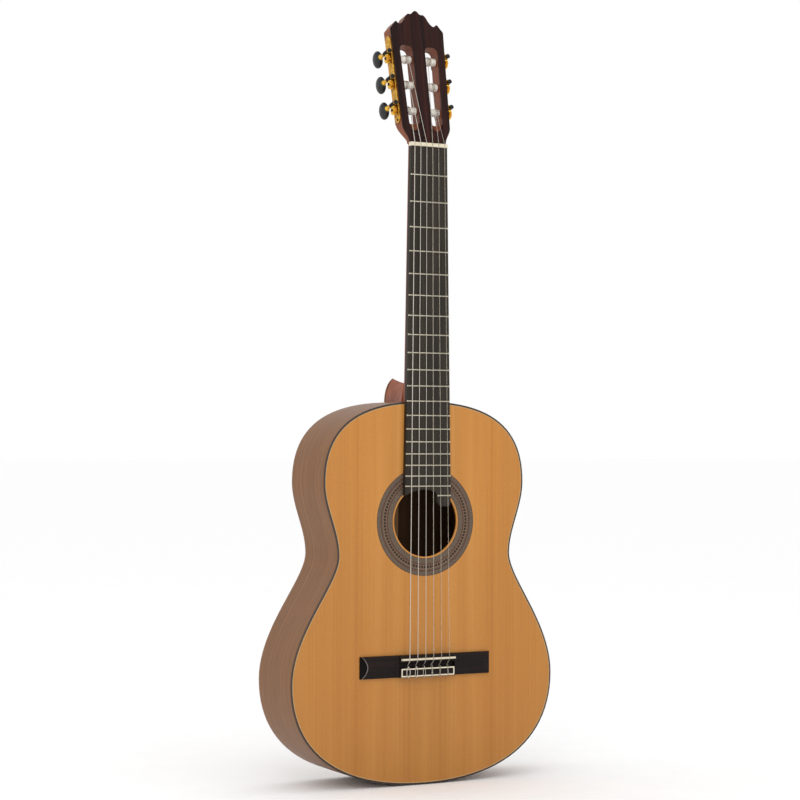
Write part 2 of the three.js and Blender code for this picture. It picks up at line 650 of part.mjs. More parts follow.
function makeBridge() {
  const { halfLength, halfBlock, bottom, top } = BRIDGE;
  const wings = new THREE.Shape();
  wings.moveTo(-halfLength, bottom);
  wings.lineTo(halfLength, bottom);
  wings.lineTo(halfLength, top);
  wings.lineTo(-halfLength, top);
  const base = layer(wings, FRONT + GAP, FRONT + BRIDGE.wing);
  const tipCuts = [1, -1].map((side) => {
    const { radius, beyond, floor } = BRIDGE_SCOOP;
    const scoop = new THREE.CylinderGeometry(radius, radius, 60, 24);
    return scoop.translate(side * (halfLength + beyond), (bottom + top) / 2, FRONT + floor + radius);
  });
  const thinned = cut(base, ...tipCuts);
  const blockTop = FRONT + BRIDGE.block;
  const tie = block([-halfBlock, halfBlock], [bottom, TIE_BLOCK.top], [FRONT + GAP, blockTop]);
  const ridge = block([-halfBlock, halfBlock], [SADDLE_HEIGHT - SADDLE.shoulder, top],
    [FRONT + GAP, blockTop]);
  const seat = block([-SADDLE.halfLength - GAP, SADDLE.halfLength + GAP],
    [SADDLE_HEIGHT - SADDLE.halfThickness - GAP, SADDLE_HEIGHT + SADDLE.halfThickness + GAP],
    [FRONT + SADDLE.seat, FRONT + 20]);
  const holes = STRINGS.map((number) => {
    const hole = cylinder(TIE_BLOCK.holeRadius, bottom - 1, TIE_BLOCK.top + 1, 8);
    return hole.translate(stringX(number, SADDLE_PITCH), 0, FRONT + TIE_BLOCK.holeHeight);
  });
  const frameOuter = inlayFrame(GAP, blockTop - INLAY.depth - GAP, blockTop + 1);
  place('bridge', cut(joined(thinned, tie, ridge), seat, frameOuter, ...holes), 'rosewood');
  const saddleFront = STRING_AT_SADDLE - STRING_RADIUS[5] - GAP;
  place('saddle', block([-SADDLE.halfLength, SADDLE.halfLength],
    [SADDLE_HEIGHT - SADDLE.halfThickness, SADDLE_HEIGHT + SADDLE.halfThickness],
    [FRONT + SADDLE.seat + GAP, saddleFront]), 'bone');
  place('tie_block_inlay', inlayFrame(0, blockTop - INLAY.depth, blockTop), 'bone');
}

// The bone frame let into the tie block, or the groove for it when grown by a margin.
function inlayFrame(grow, from, to) {
  const outer = block([-INLAY.halfLength - grow, INLAY.halfLength + grow],
    [INLAY.low - grow, INLAY.high + grow], [from, to]);
  const inset = INLAY.width + grow;
  const inner = block([-INLAY.halfLength + inset, INLAY.halfLength - inset],
    [INLAY.low + inset, INLAY.high - inset], [from - 1, to + 1]);
  return cut(outer, inner);
}

// ---------------------------------------------------------------- strings

// A route through given points that a tube follows with one ring at every point.
class StringRoute extends THREE.Curve {
  constructor(points) {
    super();
    this.points = points;
  }

  getPoint(t) {
    const along = t * (this.points.length - 1);
    const first = Math.min(Math.floor(along + 1e-9), this.points.length - 2);
    return this.points[first].clone().lerp(this.points[first + 1], along - first);
  }

  getTangent(t) {
    const here = Math.round(t * (this.points.length - 1));
    const last = this.points.length - 1;
    const before = this.points[Math.max(here, 1)].clone().sub(this.points[Math.max(here, 1) - 1]);
    const next = Math.min(here, last - 1);
    const after = this.points[next + 1].clone().sub(this.points[next]);
    return before.normalize().add(after.normalize()).normalize();
  }

  getPointAt(t) {
    return this.getPoint(t);
  }

  getTangentAt(t) {
    return this.getTangent(t);
  }
}

// Strings 1, 2 and 3 go to the treble rollers and 6, 5 and 4 to the bass ones, lowest first.
const rollerIndex = (number) => (number <= 3 ? number - 1 : 6 - number);
const sideOf = (number) => (number <= 3 ? 1 : -1);
function makeString(number) {
  const radius = STRING_RADIUS[number - 1];
  const atBridge = stringX(number, SADDLE_PITCH);
  const atNut = stringX(number, NUT_PITCH);
  const index = rollerIndex(number);
  const head = (x, s, n) => new THREE.Vector3(x, s, n).applyMatrix4(headFrame.matrix);
  const route = [
    new THREE.Vector3(atBridge, BRIDGE.bottom - 1.5, FRONT + TIE_BLOCK.holeHeight),
    new THREE.Vector3(atBridge, TIE_BLOCK.top + 0.6, FRONT + TIE_BLOCK.holeHeight),
    new THREE.Vector3(atBridge, TIE_BLOCK.top + 2.2, FRONT + TIE_BLOCK.holeHeight + 1),
    new THREE.Vector3(atBridge, SADDLE_HEIGHT - 2.2, STRING_AT_SADDLE - 0.9),
    new THREE.Vector3(atBridge, SADDLE_HEIGHT - 0.6, STRING_AT_SADDLE),
    new THREE.Vector3(atBridge, SADDLE_HEIGHT + 1.2, STRING_AT_SADDLE),
    new THREE.Vector3(atNut, NUT_HEIGHT - 1, STRING_AT_NUT),
    new THREE.Vector3(atNut, NUT_HEIGHT + NUT.length - 1, STRING_AT_NUT),
    new THREE.Vector3(atNut, NUT_HEIGHT + NUT.length + 0.8, STRING_AT_NUT - 0.3),
    head(sideOf(number) * LANDING[index], stationAt(index) - 1,
      TUNER_DEPTH + ROLLER.radius + radius + GAP),
  ];
  const section = new THREE.Shape();
  for (let i = 0; i < 6; i += 1) {
    const angle = Math.PI * i / 3;
    const move = i ? 'lineTo' : 'moveTo';
    section[move](radius * Math.cos(angle), radius * Math.sin(angle));
  }
  const options = { steps: route.length - 1, bevelEnabled: false, extrudePath: new StringRoute(route) };
  const tube = new THREE.ExtrudeGeometry(section, options);
  place(`string_${number}`, tube, number <= 3 ? 'nylon' : 'woundString');
}

// ---------------------------------------------------------------- tuning machines

const AXIS_TO_W = -Math.PI / 2;     // turns a shape made about its Y axis on to the w axis
const AXIS_TO_N = Math.PI / 2;      // turns a shape made about its Y axis on to the n axis

const tuners = {};
[['treble', 1], ['bass', -1]].forEach(([name, side]) => {
  const frame = new THREE.Group();
  frame.position.set(side * edgeX(0), 0, 0);
  frame.rotation.z = -side * EDGE_ANGLE;
  headFrame.add(frame);
  tuners[name] = { frame, side };
});

function placeTuner(name, geometry, finish, tuner) {
  place(name, tuner.side > 0 ? geometry : mirrored(geometry), finish, tuner.frame);
}

// The side plate with two bored bearing lugs for every worm.
function makeTunerPlate(sideName) {
  const middle = TUNER_DEPTH;
  const low = middle - PLATE.width / 2;
  const high = middle + PLATE.width / 2;
  const face = GAP + PLATE.thickness;
  let solid = block([GAP, face], [PLATE.bottom, PLATE.bottom + PLATE.length], [low, high]);
  const bores = [];
  [0, 1, 2].forEach((index) => {
    const axis = stationAt(index) + MESH_DISTANCE;
    [high - BEARING.thickness, low].forEach((from) => {
      const lug = block([face - 0.5, TUNER_OUT + BEARING.beyondWorm],
        [axis - BEARING.halfWidth, axis + BEARING.halfWidth], [from, from + BEARING.thickness]);
      solid = joined(solid, lug);
    });
    const journal = cylinder(BEARING.bore, low - 1, high + 1, 8).rotateX(AXIS_TO_N);
    bores.push(journal.translate(TUNER_OUT, axis, 0));
    const shaft = cylinder(ROLLER.shaft + GAP, 0, 3, 8).rotateZ(AXIS_TO_W);
    bores.push(shaft.translate(0, stationAt(index), middle));
  });
  placeTuner(`tuner_plate_${sideName}`, cut(solid, ...bores), 'gold', tuners[sideName]);
}

// A screw thread: a four-sided tooth swept round the axis, with its crest towards -u at n = 0.
function thread() {
  const around = 9;
  const turns = 5;
  const half = LEAD / 4 - 0.15;
  const flank = Math.tan(THREE.MathUtils.degToRad(20));
  const crest = half - (WORM.crest - WORM.pitch) * flank;
  const root = half + (WORM.pitch - WORM.root) * flank;
  const profile = [[-root, WORM.root], [-crest, WORM.crest], [crest, WORM.crest], [root, WORM.root]];
  const points = [];
  for (let i = 0; i <= around * turns; i += 1) {
    const angle = 2 * Math.PI * i / around - Math.PI / 2;
    const rise = LEAD * (i / around - Math.floor(turns / 2));
    profile.forEach(([along, radius]) => {
      points.push(new THREE.Vector3(radius * Math.cos(angle), radius * Math.sin(angle), rise + along));
    });
  }
  return threadSkin(points, around, turns, profile.length);
}

// Closes the swept tooth: the next turn's first flank starts where this turn's last one ends.
function threadSkin(points, around, turns, size) {
  const at = (i, p) => i * size + p;
  const index = [];
  const quad = (a, b, c, d) => index.push(a, b, c, a, c, d);
  const count = around * turns;
  for (let i = 0; i < count; i += 1) {
    for (let p = 0; p + 1 < size; p += 1) {
      quad(at(i, p), at(i + 1, p), at(i + 1, p + 1), at(i, p + 1));
    }
    if (i + 1 + around <= count) {
      quad(at(i, size - 1), at(i + 1, size - 1), at(i + 1 + around, 0), at(i + around, 0));
    }
  }
  const low = points.push(new THREE.Vector3(0, 0, points[at(0, 0)].z - 0.5)) - 1;
  const high = points.push(new THREE.Vector3(0, 0, points[at(count, size - 1)].z + 0.5)) - 1;
  const fan = (middle, ...rim) => rim.slice(1).forEach((next, k) => index.push(middle, rim[k], next));
  const lowRim = [];
  for (let i = around; i >= 0; i -= 1) lowRim.push(at(i, 0));
  for (let p = 1; p < size; p += 1) lowRim.push(at(0, p));
  fan(low, ...lowRim, at(around, 0));
  const highRim = [];
  for (let i = count - around; i <= count; i += 1) highRim.push(at(i, size - 1));
  for (let p = size - 2; p >= 0; p -= 1) highRim.push(at(count, p));
  fan(high, ...highRim, at(count - around, size - 1));
  const geometry = new THREE.BufferGeometry().setFromPoints(points);
  geometry.setIndex(index);
  return facingOut(geometry);
}

const plateLow = TUNER_DEPTH - PLATE.width / 2;
const plateHigh = TUNER_DEPTH + PLATE.width / 2;
const BUTTON_FRONT = -HEAD_THICKNESS - BUTTON.gap;

// The worm with its journals, round front end, rear collar and the tang for the button.
function makeWorm(number, index, tuner) {
  const room = new THREE.CylinderGeometry(5, 5, WORM.length, 4).rotateX(AXIS_TO_N);
  const screw = common(thread(), room).translate(0, 0, TUNER_DEPTH);
  const along = (radius, from, to) => cylinder(radius, from, to, 9).rotateX(AXIS_TO_N);
  const shaft = along(WORM.journal, BUTTON_FRONT - TANG + GAP, plateHigh + 1);
  const end = along(2.8, plateHigh + GAP, plateHigh + 1.8);
  const collar = along(2.3, BUTTON_FRONT + GAP, plateLow - GAP);
  const solid = joined(shaft, screw, end, collar);
  const geometry = solid.translate(TUNER_OUT, stationAt(index) + MESH_DISTANCE, 0);
  placeTuner(`worm_shaft_${number}`, geometry, 'blackSteel', tuner);
}

// An oval knob, flat in the w direction.
function makeButton(number, index, tuner) {
  const long = BUTTON.length / 2;
  const deep = BUTTON.width;
  const profile = [
    [0, 0], [3.4, 0], [4.6, 1.4], [8.6, 2.2], [long, 5.4],
    [long, 9.4], [8.8, deep - 1.8], [4.4, deep], [0, deep],
  ];
  const knob = new THREE.LatheGeometry(profile.map(([r, y]) => new THREE.Vector2(r, y)), 12);
  knob.rotateX(-AXIS_TO_N).scale(BUTTON.thickness / BUTTON.length, 1, 1).translate(0, 0, BUTTON_FRONT);
  const bore = cylinder(WORM.journal + GAP, BUTTON_FRONT - TANG, BUTTON_FRONT + 1, 8).rotateX(AXIS_TO_N);
  const geometry = cut(knob, bore).translate(TUNER_OUT, stationAt(index) + MESH_DISTANCE, 0);
  placeTuner(`button_${number}`, geometry, 'blackButton', tuner);
}

// The gear wheel, its teeth slanted to follow the worm's thread.
function makeGear(number, index, tuner) {
  const { teeth, pitch, tip, root, width } = GEAR;
  const flank = Math.tan(THREE.MathUtils.degToRad(20));
  const half = LEAD / 4 - 0.15;
  const tipAngle = (half - (tip - pitch) * flank) / tip;
  const rootAngle = (half + (pitch - root) * flank) / root;
  const shape = new THREE.Shape();
  const polar = (radius, angle) => new THREE.Vector2(radius * Math.cos(angle), radius * Math.sin(angle));
  const points = [];
  for (let tooth = 0; tooth < teeth; tooth += 1) {
    const middle = 2 * Math.PI * (tooth + 0.5) / teeth;
    points.push(polar(root, middle - rootAngle), polar(tip, middle - tipAngle));
    points.push(polar(tip, middle + tipAngle), polar(root, middle + rootAngle));
  }
  shape.setFromPoints(points);
  shape.holes.push(new THREE.Path(disc(ROLLER.shaft, 0, 8).getPoints()));
  const wheel = new THREE.ExtrudeGeometry(shape, { depth: width, bevelEnabled: false, steps: 1 });
  wheel.translate(0, 0, -width / 2);
  twist(wheel, LEAD / (2 * Math.PI * WORM.pitch) / pitch);
  const axes = new THREE.Matrix4().makeBasis(
    new THREE.Vector3(0, 1, 0),
    new THREE.Vector3(0, 0, 1),
    new THREE.Vector3(1, 0, 0),
  );
  wheel.applyMatrix4(axes).translate(TUNER_OUT, stationAt(index), TUNER_DEPTH);
  placeTuner(`gear_${number}`, wheel, 'gold', tuner);
}

function twist(geometry, perLength) {
  const position = geometry.attributes.position;
  const point = new THREE.Vector3();
  const axis = new THREE.Vector3(0, 0, 1);
  for (let i = 0; i < position.count; i += 1) {
    point.fromBufferAttribute(position, i).applyAxisAngle(axis, perLength * position.getZ(i));
    position.setXYZ(i, point.x, point.y, point.z);
  }
}

// The barrel that winds the string, on a shaft from the gear to the head's centre bar.
function makeRoller(number, index, tuner) {
  const barrelEnd = ROLLER.outerEnd - ROLLER.lengths[index];
  const gearFace = TUNER_OUT - GEAR.width / 2;
  const profile = [
    [0, ROLLER.shaftEnd], [ROLLER.shaft, ROLLER.shaftEnd], [ROLLER.shaft, barrelEnd],
    [ROLLER.radius, barrelEnd], [ROLLER.radius, ROLLER.outerEnd], [ROLLER.shaft, ROLLER.outerEnd],
    [ROLLER.shaft, gearFace - GAP], [ROLLER.shaft - GAP, gearFace - GAP],
    [ROLLER.shaft - GAP, TUNER_OUT + GEAR.width / 2], [0, TUNER_OUT + GEAR.width / 2],
  ];
  const roller = new THREE.LatheGeometry(profile.map(([r, y]) => new THREE.Vector2(r, y)), 12);
  roller.rotateZ(AXIS_TO_W).translate(0, stationAt(index), TUNER_DEPTH);
  placeTuner(`roller_${number}`, roller, 'rollerWhite', tuner);
}

// ---------------------------------------------------------------- assembly

makeSoundboard();
makeBackPlate();
makeRosette();
makeBindings();
makeSides();
makeLinings();
makeTailBlock();
makeTopBars();
makeFanBracing();
makeBackBracing();
makeNeck();
makeHead();
makeFingerboard();
makeNut();
makeBridge();
STRINGS.forEach(makeString);
makeTunerPlate('treble');
makeTunerPlate('bass');
STRINGS.forEach((number) => {
  const tuner = tuners[sideOf(number) > 0 ? 'treble' : 'bass'];
  const index = rollerIndex(number);
  makeWorm(number, index, tuner);
  makeButton(number, index, tuner);
  makeGear(number, index, tuner);
  makeRoller(number, index, tuner);
});

export default guitar;
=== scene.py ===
# Classical guitar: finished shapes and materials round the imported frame.
#
# Shapes are drawn in millimetres in the frames that the guitar is built in, and a matrix
# takes each one to the row frame in metres:
#   BODY    x (treble side), h (height up the neck), f (forward, out of the soundboard)
#   HEAD    x, s (along the head), n (out of its front face)
#   EDGE    w (outward), u (along the edge), n, one for each slanted edge of the head
from math import atan, copysign, cos, pi, radians, sin, sqrt, tan

import bmesh
import bpy
from mathutils import Matrix, Quaternion, Vector


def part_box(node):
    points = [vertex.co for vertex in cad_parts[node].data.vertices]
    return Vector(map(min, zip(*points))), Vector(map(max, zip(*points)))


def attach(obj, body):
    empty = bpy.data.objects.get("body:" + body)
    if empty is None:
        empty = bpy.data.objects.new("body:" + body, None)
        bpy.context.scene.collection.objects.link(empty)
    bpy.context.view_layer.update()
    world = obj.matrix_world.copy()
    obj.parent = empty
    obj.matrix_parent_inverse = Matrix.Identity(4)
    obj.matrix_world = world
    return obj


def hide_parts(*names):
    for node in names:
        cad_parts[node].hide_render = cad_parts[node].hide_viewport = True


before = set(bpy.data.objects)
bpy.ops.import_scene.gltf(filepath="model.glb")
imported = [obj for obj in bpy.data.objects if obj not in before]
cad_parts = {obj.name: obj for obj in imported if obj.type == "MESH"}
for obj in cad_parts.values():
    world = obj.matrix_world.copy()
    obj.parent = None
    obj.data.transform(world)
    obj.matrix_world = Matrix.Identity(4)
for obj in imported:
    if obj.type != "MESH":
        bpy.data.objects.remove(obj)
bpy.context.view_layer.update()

MM = 0.001


def reach(node):
    """The lowest and highest corners of a CAD node's box in the body frame, in millimetres."""
    low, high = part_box(node)
    return Vector((low.x, low.z, -high.y)) / MM, Vector((high.x, high.z, -low.y)) / MM


# ---- sizes, in mm

FRONT = reach("soundboard")[1].z                 # the soundboard's face
BOARD_BACK = reach("soundboard")[0].z
BODY_LENGTH = reach("top_binding")[1].y
LOWER_BOUT = reach("top_binding")[1].x
BACK_AT_TAIL = reach("back_binding")[0].z
BACK_TAPER = 5.5 / BODY_LENGTH
BACK_THICKNESS = 2.5
SIDE_THICKNESS = 2
BINDING_WIDTH = 2.3
BINDING_DEPTH = 4
PURFLING_WIDTH = 0.9
RIM = BINDING_WIDTH + PURFLING_WIDTH
GLUE = 0.02                      # left open between drawn pieces that are glued
ON_TOP = FRONT + GLUE            # the foot of what is glued on the soundboard

NUT_LOW, NUT_HIGH = reach("nut")
NUT = NUT_LOW.y
SCALE_LENGTH = 2 * (NUT - BODY_LENGTH)
SADDLE = (reach("saddle")[0].y + reach("saddle")[1].y) / 2
STRING_AT_NUT = NUT_HIGH.z - 0.6
STRING_AT_SADDLE = FRONT + 12.8
NUT_PITCH = 8.6
SADDLE_PITCH = 11.4
STRING_RADIUS = (0.36, 0.41, 0.51, 0.37, 0.45, 0.55)     # first (treble) to sixth (bass)
STRINGS = (1, 2, 3, 4, 5, 6)

HOLE_HEIGHT = (reach("rosette")[0].y + reach("rosette")[1].y) / 2
HOLE_RADIUS = 45
ROSETTE_OUTER = reach("rosette")[1].x
ROSETTE_INNER = 47.2
ROSETTE_DEPTH = 1

BOARD_TOP = reach("fingerboard")[1].z
BOARD_AT_NUT = 26
BOARD_AT_BODY = 31
FRETS = 20

HEAD_TILT = radians(12)
HEAD_FACE = FRONT + 4.7
HEAD_THICKNESS = 19.5
OVERLAY = 2.2
EDGE_LOW = Vector((34.3, 28))
EDGE_HIGH = Vector((38.5, 160))
EDGE_SLOPE = (EDGE_HIGH.x - EDGE_LOW.x) / (EDGE_HIGH.y - EDGE_LOW.y)
EDGE_FOOT = EDGE_LOW.x - EDGE_LOW.y * EDGE_SLOPE
EDGE_ANGLE = atan(EDGE_SLOPE)

TUNER_OUT = 5.2                  # the worm axis and the gear's middle, out from the head's edge
TUNER_DEPTH = -9.75
MESH_DISTANCE = 8
STATIONS = (50, 85, 120)
PLATE_LOW, PLATE_HIGH = 33, 151
PLATE_HALF = 7.25
PLATE_FACE = 1.3
GEAR_TEETH = 14
GEAR_PITCH = 5.5
GEAR_TIP, GEAR_ROOT, GEAR_WIDTH = 6.25, 4.6, 3.4
LEAD = 2 * pi * GEAR_PITCH / GEAR_TEETH
TOOTH_HALF = LEAD / 4 - 0.15     # half a tooth at the pitch circle, with play on its flank
WORM_PITCH = 2.5
ROLLER_OUTER = -10.6
ROLLER_LENGTHS = {50: 15.2, 85: 16.3, 120: 17.4}
ROLLER_SHAFT_END = -31
ROLLER_RADIUS = 5
BUTTON_FRONT = -HEAD_THICKNESS - 7.2
BUTTON_WIDTH, BUTTON_THICKNESS = 23, 12

BODY = Matrix.Scale(MM, 4) @ Matrix(((1, 0, 0, 0), (0, 0, -1, 0), (0, 1, 0, 0), (0, 0, 0, 1)))
HEAD = BODY @ Matrix.Translation((0, NUT, HEAD_FACE)) @ Matrix.Rotation(-HEAD_TILT, 4, "X")
EDGE = {
    side: HEAD @ Matrix.Diagonal((side, 1, 1, 1)) @ Matrix.Translation((EDGE_FOOT, 0, 0))
    @ Matrix.Rotation(-EDGE_ANGLE, 4, "Z")
    for side in (1, -1)
}
TURN_TO_W = Matrix(((0, 0, 1, 0), (1, 0, 0, 0), (0, 1, 0, 0), (0, 0, 0, 1)))   # x, y, z to u, n, w


def side_of(number):
    return 1 if number <= 3 else -1


def station_of(number):
    return STATIONS[number - 1 if number <= 3 else 6 - number]


def string_x(number, pitch):
    return (3.5 - number) * pitch


def string_places(pitch):
    return [string_x(number, pitch) for number in STRINGS]


def back_at(height):
    return BACK_AT_TAIL + BACK_TAPER * height


def board_half(height):
    return BOARD_AT_NUT + (BOARD_AT_BODY - BOARD_AT_NUT) * (NUT - height) / (SCALE_LENGTH / 2)


# ---- materials

def rgb(red, green, blue):
    """A colour given as it looks on a screen, 0 to 255, as the linear colour that shaders take."""
    def linear(value):
        value /= 255
        return value / 12.92 if value <= 0.04045 else ((value + 0.055) / 1.055) ** 2.4
    return (linear(red), linear(green), linear(blue), 1)


class Finish:
    """A material whose patterns are worked out from the object's own coordinates."""

    def __init__(self, name, **sockets):
        self.material = bpy.data.materials.new(name)
        self.material.use_nodes = True
        self.tree = self.material.node_tree
        self.shader = self.tree.nodes["Principled BSDF"]
        for socket, value in sockets.items():
            self.shader.inputs[socket.replace("_", " ")].default_value = value
        self.place = self.tree.nodes.new("ShaderNodeTexCoord").outputs["Object"]
        self.normal = None

    def node(self, kind, inputs, **settings):
        node = self.tree.nodes.new("ShaderNode" + kind)
        for key, value in settings.items():
            setattr(node, key, value)
        for key, value in inputs.items():
            if isinstance(value, bpy.types.NodeSocket):
                self.tree.links.new(value, node.inputs[key])
            else:
                node.inputs[key].default_value = value
        return node

    def math(self, operation, first, second=0.0):
        return self.node("Math", {0: first, 1: second}, operation=operation).outputs[0]

    def mirror(self):
        """Makes the pattern the same on both sides of the middle, as in book-matched plates."""
        parts = self.node("SeparateXYZ", {0: self.place}).outputs
        side = self.math("ABSOLUTE", parts[0])
        self.place = self.node("CombineXYZ", {0: side, 1: parts[1], 2: parts[2]}).outputs[0]

    def noise(self, size, detail=3.0, tilt=0.0, warp=0.0, shift=0.0):
        """Noise of one spot for each size, given in millimetres along x, y and z."""
        inputs = {
            "Vector": self.place,
            "Location": (shift, shift, shift),
            "Rotation": (tilt, 0, 0),
            "Scale": [length * MM for length in size],
        }
        mapped = self.node("Mapping", inputs, vector_type="TEXTURE").outputs[0]
        inputs = {"Vector": mapped, "Scale": 1.0, "Detail": detail, "Distortion": warp}
        return self.node("TexNoise", inputs).outputs["Fac"]

    def levels(self, value, low, high, to_low=0.0, to_high=1.0):
        inputs = {"Value": value, "From Min": low, "From Max": high, "To Min": to_low, "To Max": to_high}
        return self.node("MapRange", inputs).outputs[0]

    def ramp(self, value, *colours):
        """Screen colours spread evenly from the value's low end to its high end."""
        node = self.node("ValToRGB", {0: value})
        elements = node.color_ramp.elements
        while len(elements) < len(colours):
            elements.new(0.5)
        for i, colour in enumerate(colours):
            elements[i].position = i / (len(colours) - 1)
            elements[i].color = rgb(*colour)
        return node.outputs[0]

    def mix(self, amount, first, second, blend="MIX"):
        inputs = {0: amount, 6: first, 7: second}
        return self.node("Mix", inputs, data_type="RGBA", blend_type=blend).outputs[2]

    def shaded(self, colour, share):
        """The colour with its channels multiplied by the share."""
        grey = self.node("CombineColor", {0: share, 1: share, 2: share}).outputs[0]
        return self.mix(1.0, colour, grey, "MULTIPLY")

    def bump(self, height, depth):
        """Raises the surface by up to depth millimetres where height is 1."""
        inputs = {"Height": height, "Strength": 1.0, "Distance": depth * MM}
        if self.normal:
            inputs["Normal"] = self.normal
        self.normal = self.node("Bump", inputs).outputs[0]

    def done(self, colour=None, roughness=None):
        for socket, value in (("Base Color", colour), ("Roughness", roughness), ("Normal", self.normal)):
            if value is not None:
                self.tree.links.new(value, self.shader.inputs[socket])
        return self.material


def wood(name, colours, streak, grain, tilt=0.0, book=False, pores=0.0, shade=0.8, rough=(0.35, 0.5),
         coat=0.0, shine=0.5):
    """Streaked wood. streak and grain are sizes along x, y and z, and pores is how many show."""
    finish = Finish(name, Coat_Weight=coat, Coat_Roughness=0.22, Specular_IOR_Level=shine)
    if book:
        finish.mirror()
    wide = finish.noise(streak, 4.0, tilt, 0.35)
    fine = finish.noise(grain, 2.0, tilt, 0.1, 0.37)
    colour = finish.ramp(finish.levels(wide, 0.3, 0.7), *colours)
    colour = finish.shaded(colour, finish.levels(fine, 0.35, 0.6, shade, 1.06))
    if pores:
        size = [max(0.35, length * 0.45) for length in grain]
        pit = finish.levels(finish.noise(size, 1.0, tilt, 0.0, 0.71), 0.66 - pores, 0.72 - pores)
        colour = finish.mix(pit, colour, finish.mix(0.6, colour, rgb(30, 18, 12)))
        finish.bump(finish.math("SUBTRACT", 1.0, pit), 0.03)
    finish.bump(fine, 0.015)
    return finish.done(colour, finish.levels(fine, 0.3, 0.7, *rough))


def make_cedar():
    finish = Finish("cedar", Coat_Weight=0.2, Coat_Roughness=0.25, Specular_IOR_Level=0.3)
    finish.mirror()
    wide = finish.levels(finish.noise((26, 60, 900), 3.0, 0.0, 0.2), 0.25, 0.75)
    colour = finish.ramp(wide, (181, 115, 41), (187, 122, 46), (192, 128, 52), (199, 136, 61))
    fine = finish.noise((1.3, 20, 420), 2.0, 0.0, 0.05, 0.2)
    silk = finish.noise((5, 9, 1.1), 2.0, 0.0, 0.4, 0.6)
    band = finish.noise((90, 200, 260), 2.0, 0.0, 0.0, 0.9)
    height = finish.node("SeparateXYZ", {0: finish.place}).outputs[2]
    line = finish.levels(fine, 0.45, 0.65, 1.01, 0.93)
    # line gathers the grain lines, the silk, random bands and painted shade: the height factor darkens the
    # top towards the tail, where less light falls
    for value, limits in (
        (silk, (0.35, 0.65, 0.97, 1.03)), (band, (0.3, 0.7, 0.95, 1.04)), (height, (0.0, 0.48, 0.8, 1.04)),
    ):
        line = finish.math("MULTIPLY", line, finish.levels(value, *limits))
    finish.bump(fine, 0.01)
    return finish.done(finish.shaded(colour, line), finish.levels(silk, 0.3, 0.7, 0.36, 0.46))


def make_plain(name, colours, size, rough, depth=0.0, **sockets):
    """A material that varies gently over spots of one size."""
    finish = Finish(name, **sockets)
    spots = finish.noise((size, size, size), 4.0, 0.0, 0.3)
    if depth:
        finish.bump(finish.noise((size / 6, size / 6, size / 6), 2.0, 0.0, 0.0, 0.4), depth)
    colour = finish.ramp(finish.levels(spots, 0.3, 0.7), *colours)
    return finish.done(colour, finish.levels(spots, 0.3, 0.7, *rough))


def make_gold():
    """Gilded steel with a fine hand-cut ground that has darkened in its hollows."""
    finish = Finish("gold", Metallic=1.0)
    mapped = finish.node("Mapping", {"Vector": finish.place, "Scale": (900, 900, 900)}).outputs[0]
    cells = finish.node("TexVoronoi", {"Vector": mapped, "Scale": 1.0}, feature="SMOOTH_F1")
    cut = finish.levels(cells.outputs["Distance"], 0.2, 0.75)
    wear = finish.noise((6, 6, 6), 3.0)
    colour = finish.ramp(finish.levels(wear, 0.3, 0.7), (168, 122, 42), (196, 150, 62), (214, 172, 86))
    colour = finish.mix(finish.levels(cut, 0.45, 0.9, 0.0, 0.7), colour, rgb(84, 54, 16))
    finish.bump(finish.math("SUBTRACT", 1.0, cut), 0.08)
    return finish.done(colour, finish.levels(wear, 0.3, 0.7, 0.2, 0.36))


def make_wound():
    """Silvered wire wound closely round a core."""
    finish = Finish("wound_string", Metallic=0.8)
    inputs = {"Vector": finish.place, "Scale": 620.0, "Distortion": 0.4}
    wave = finish.node("TexWave", inputs, bands_direction="Z").outputs["Fac"]
    finish.bump(wave, 0.04)
    colour = finish.ramp(wave, (150, 140, 126), (214, 206, 194), (228, 222, 212))
    return finish.done(colour, finish.levels(finish.noise((3, 3, 12)), 0.3, 0.7, 0.28, 0.42))


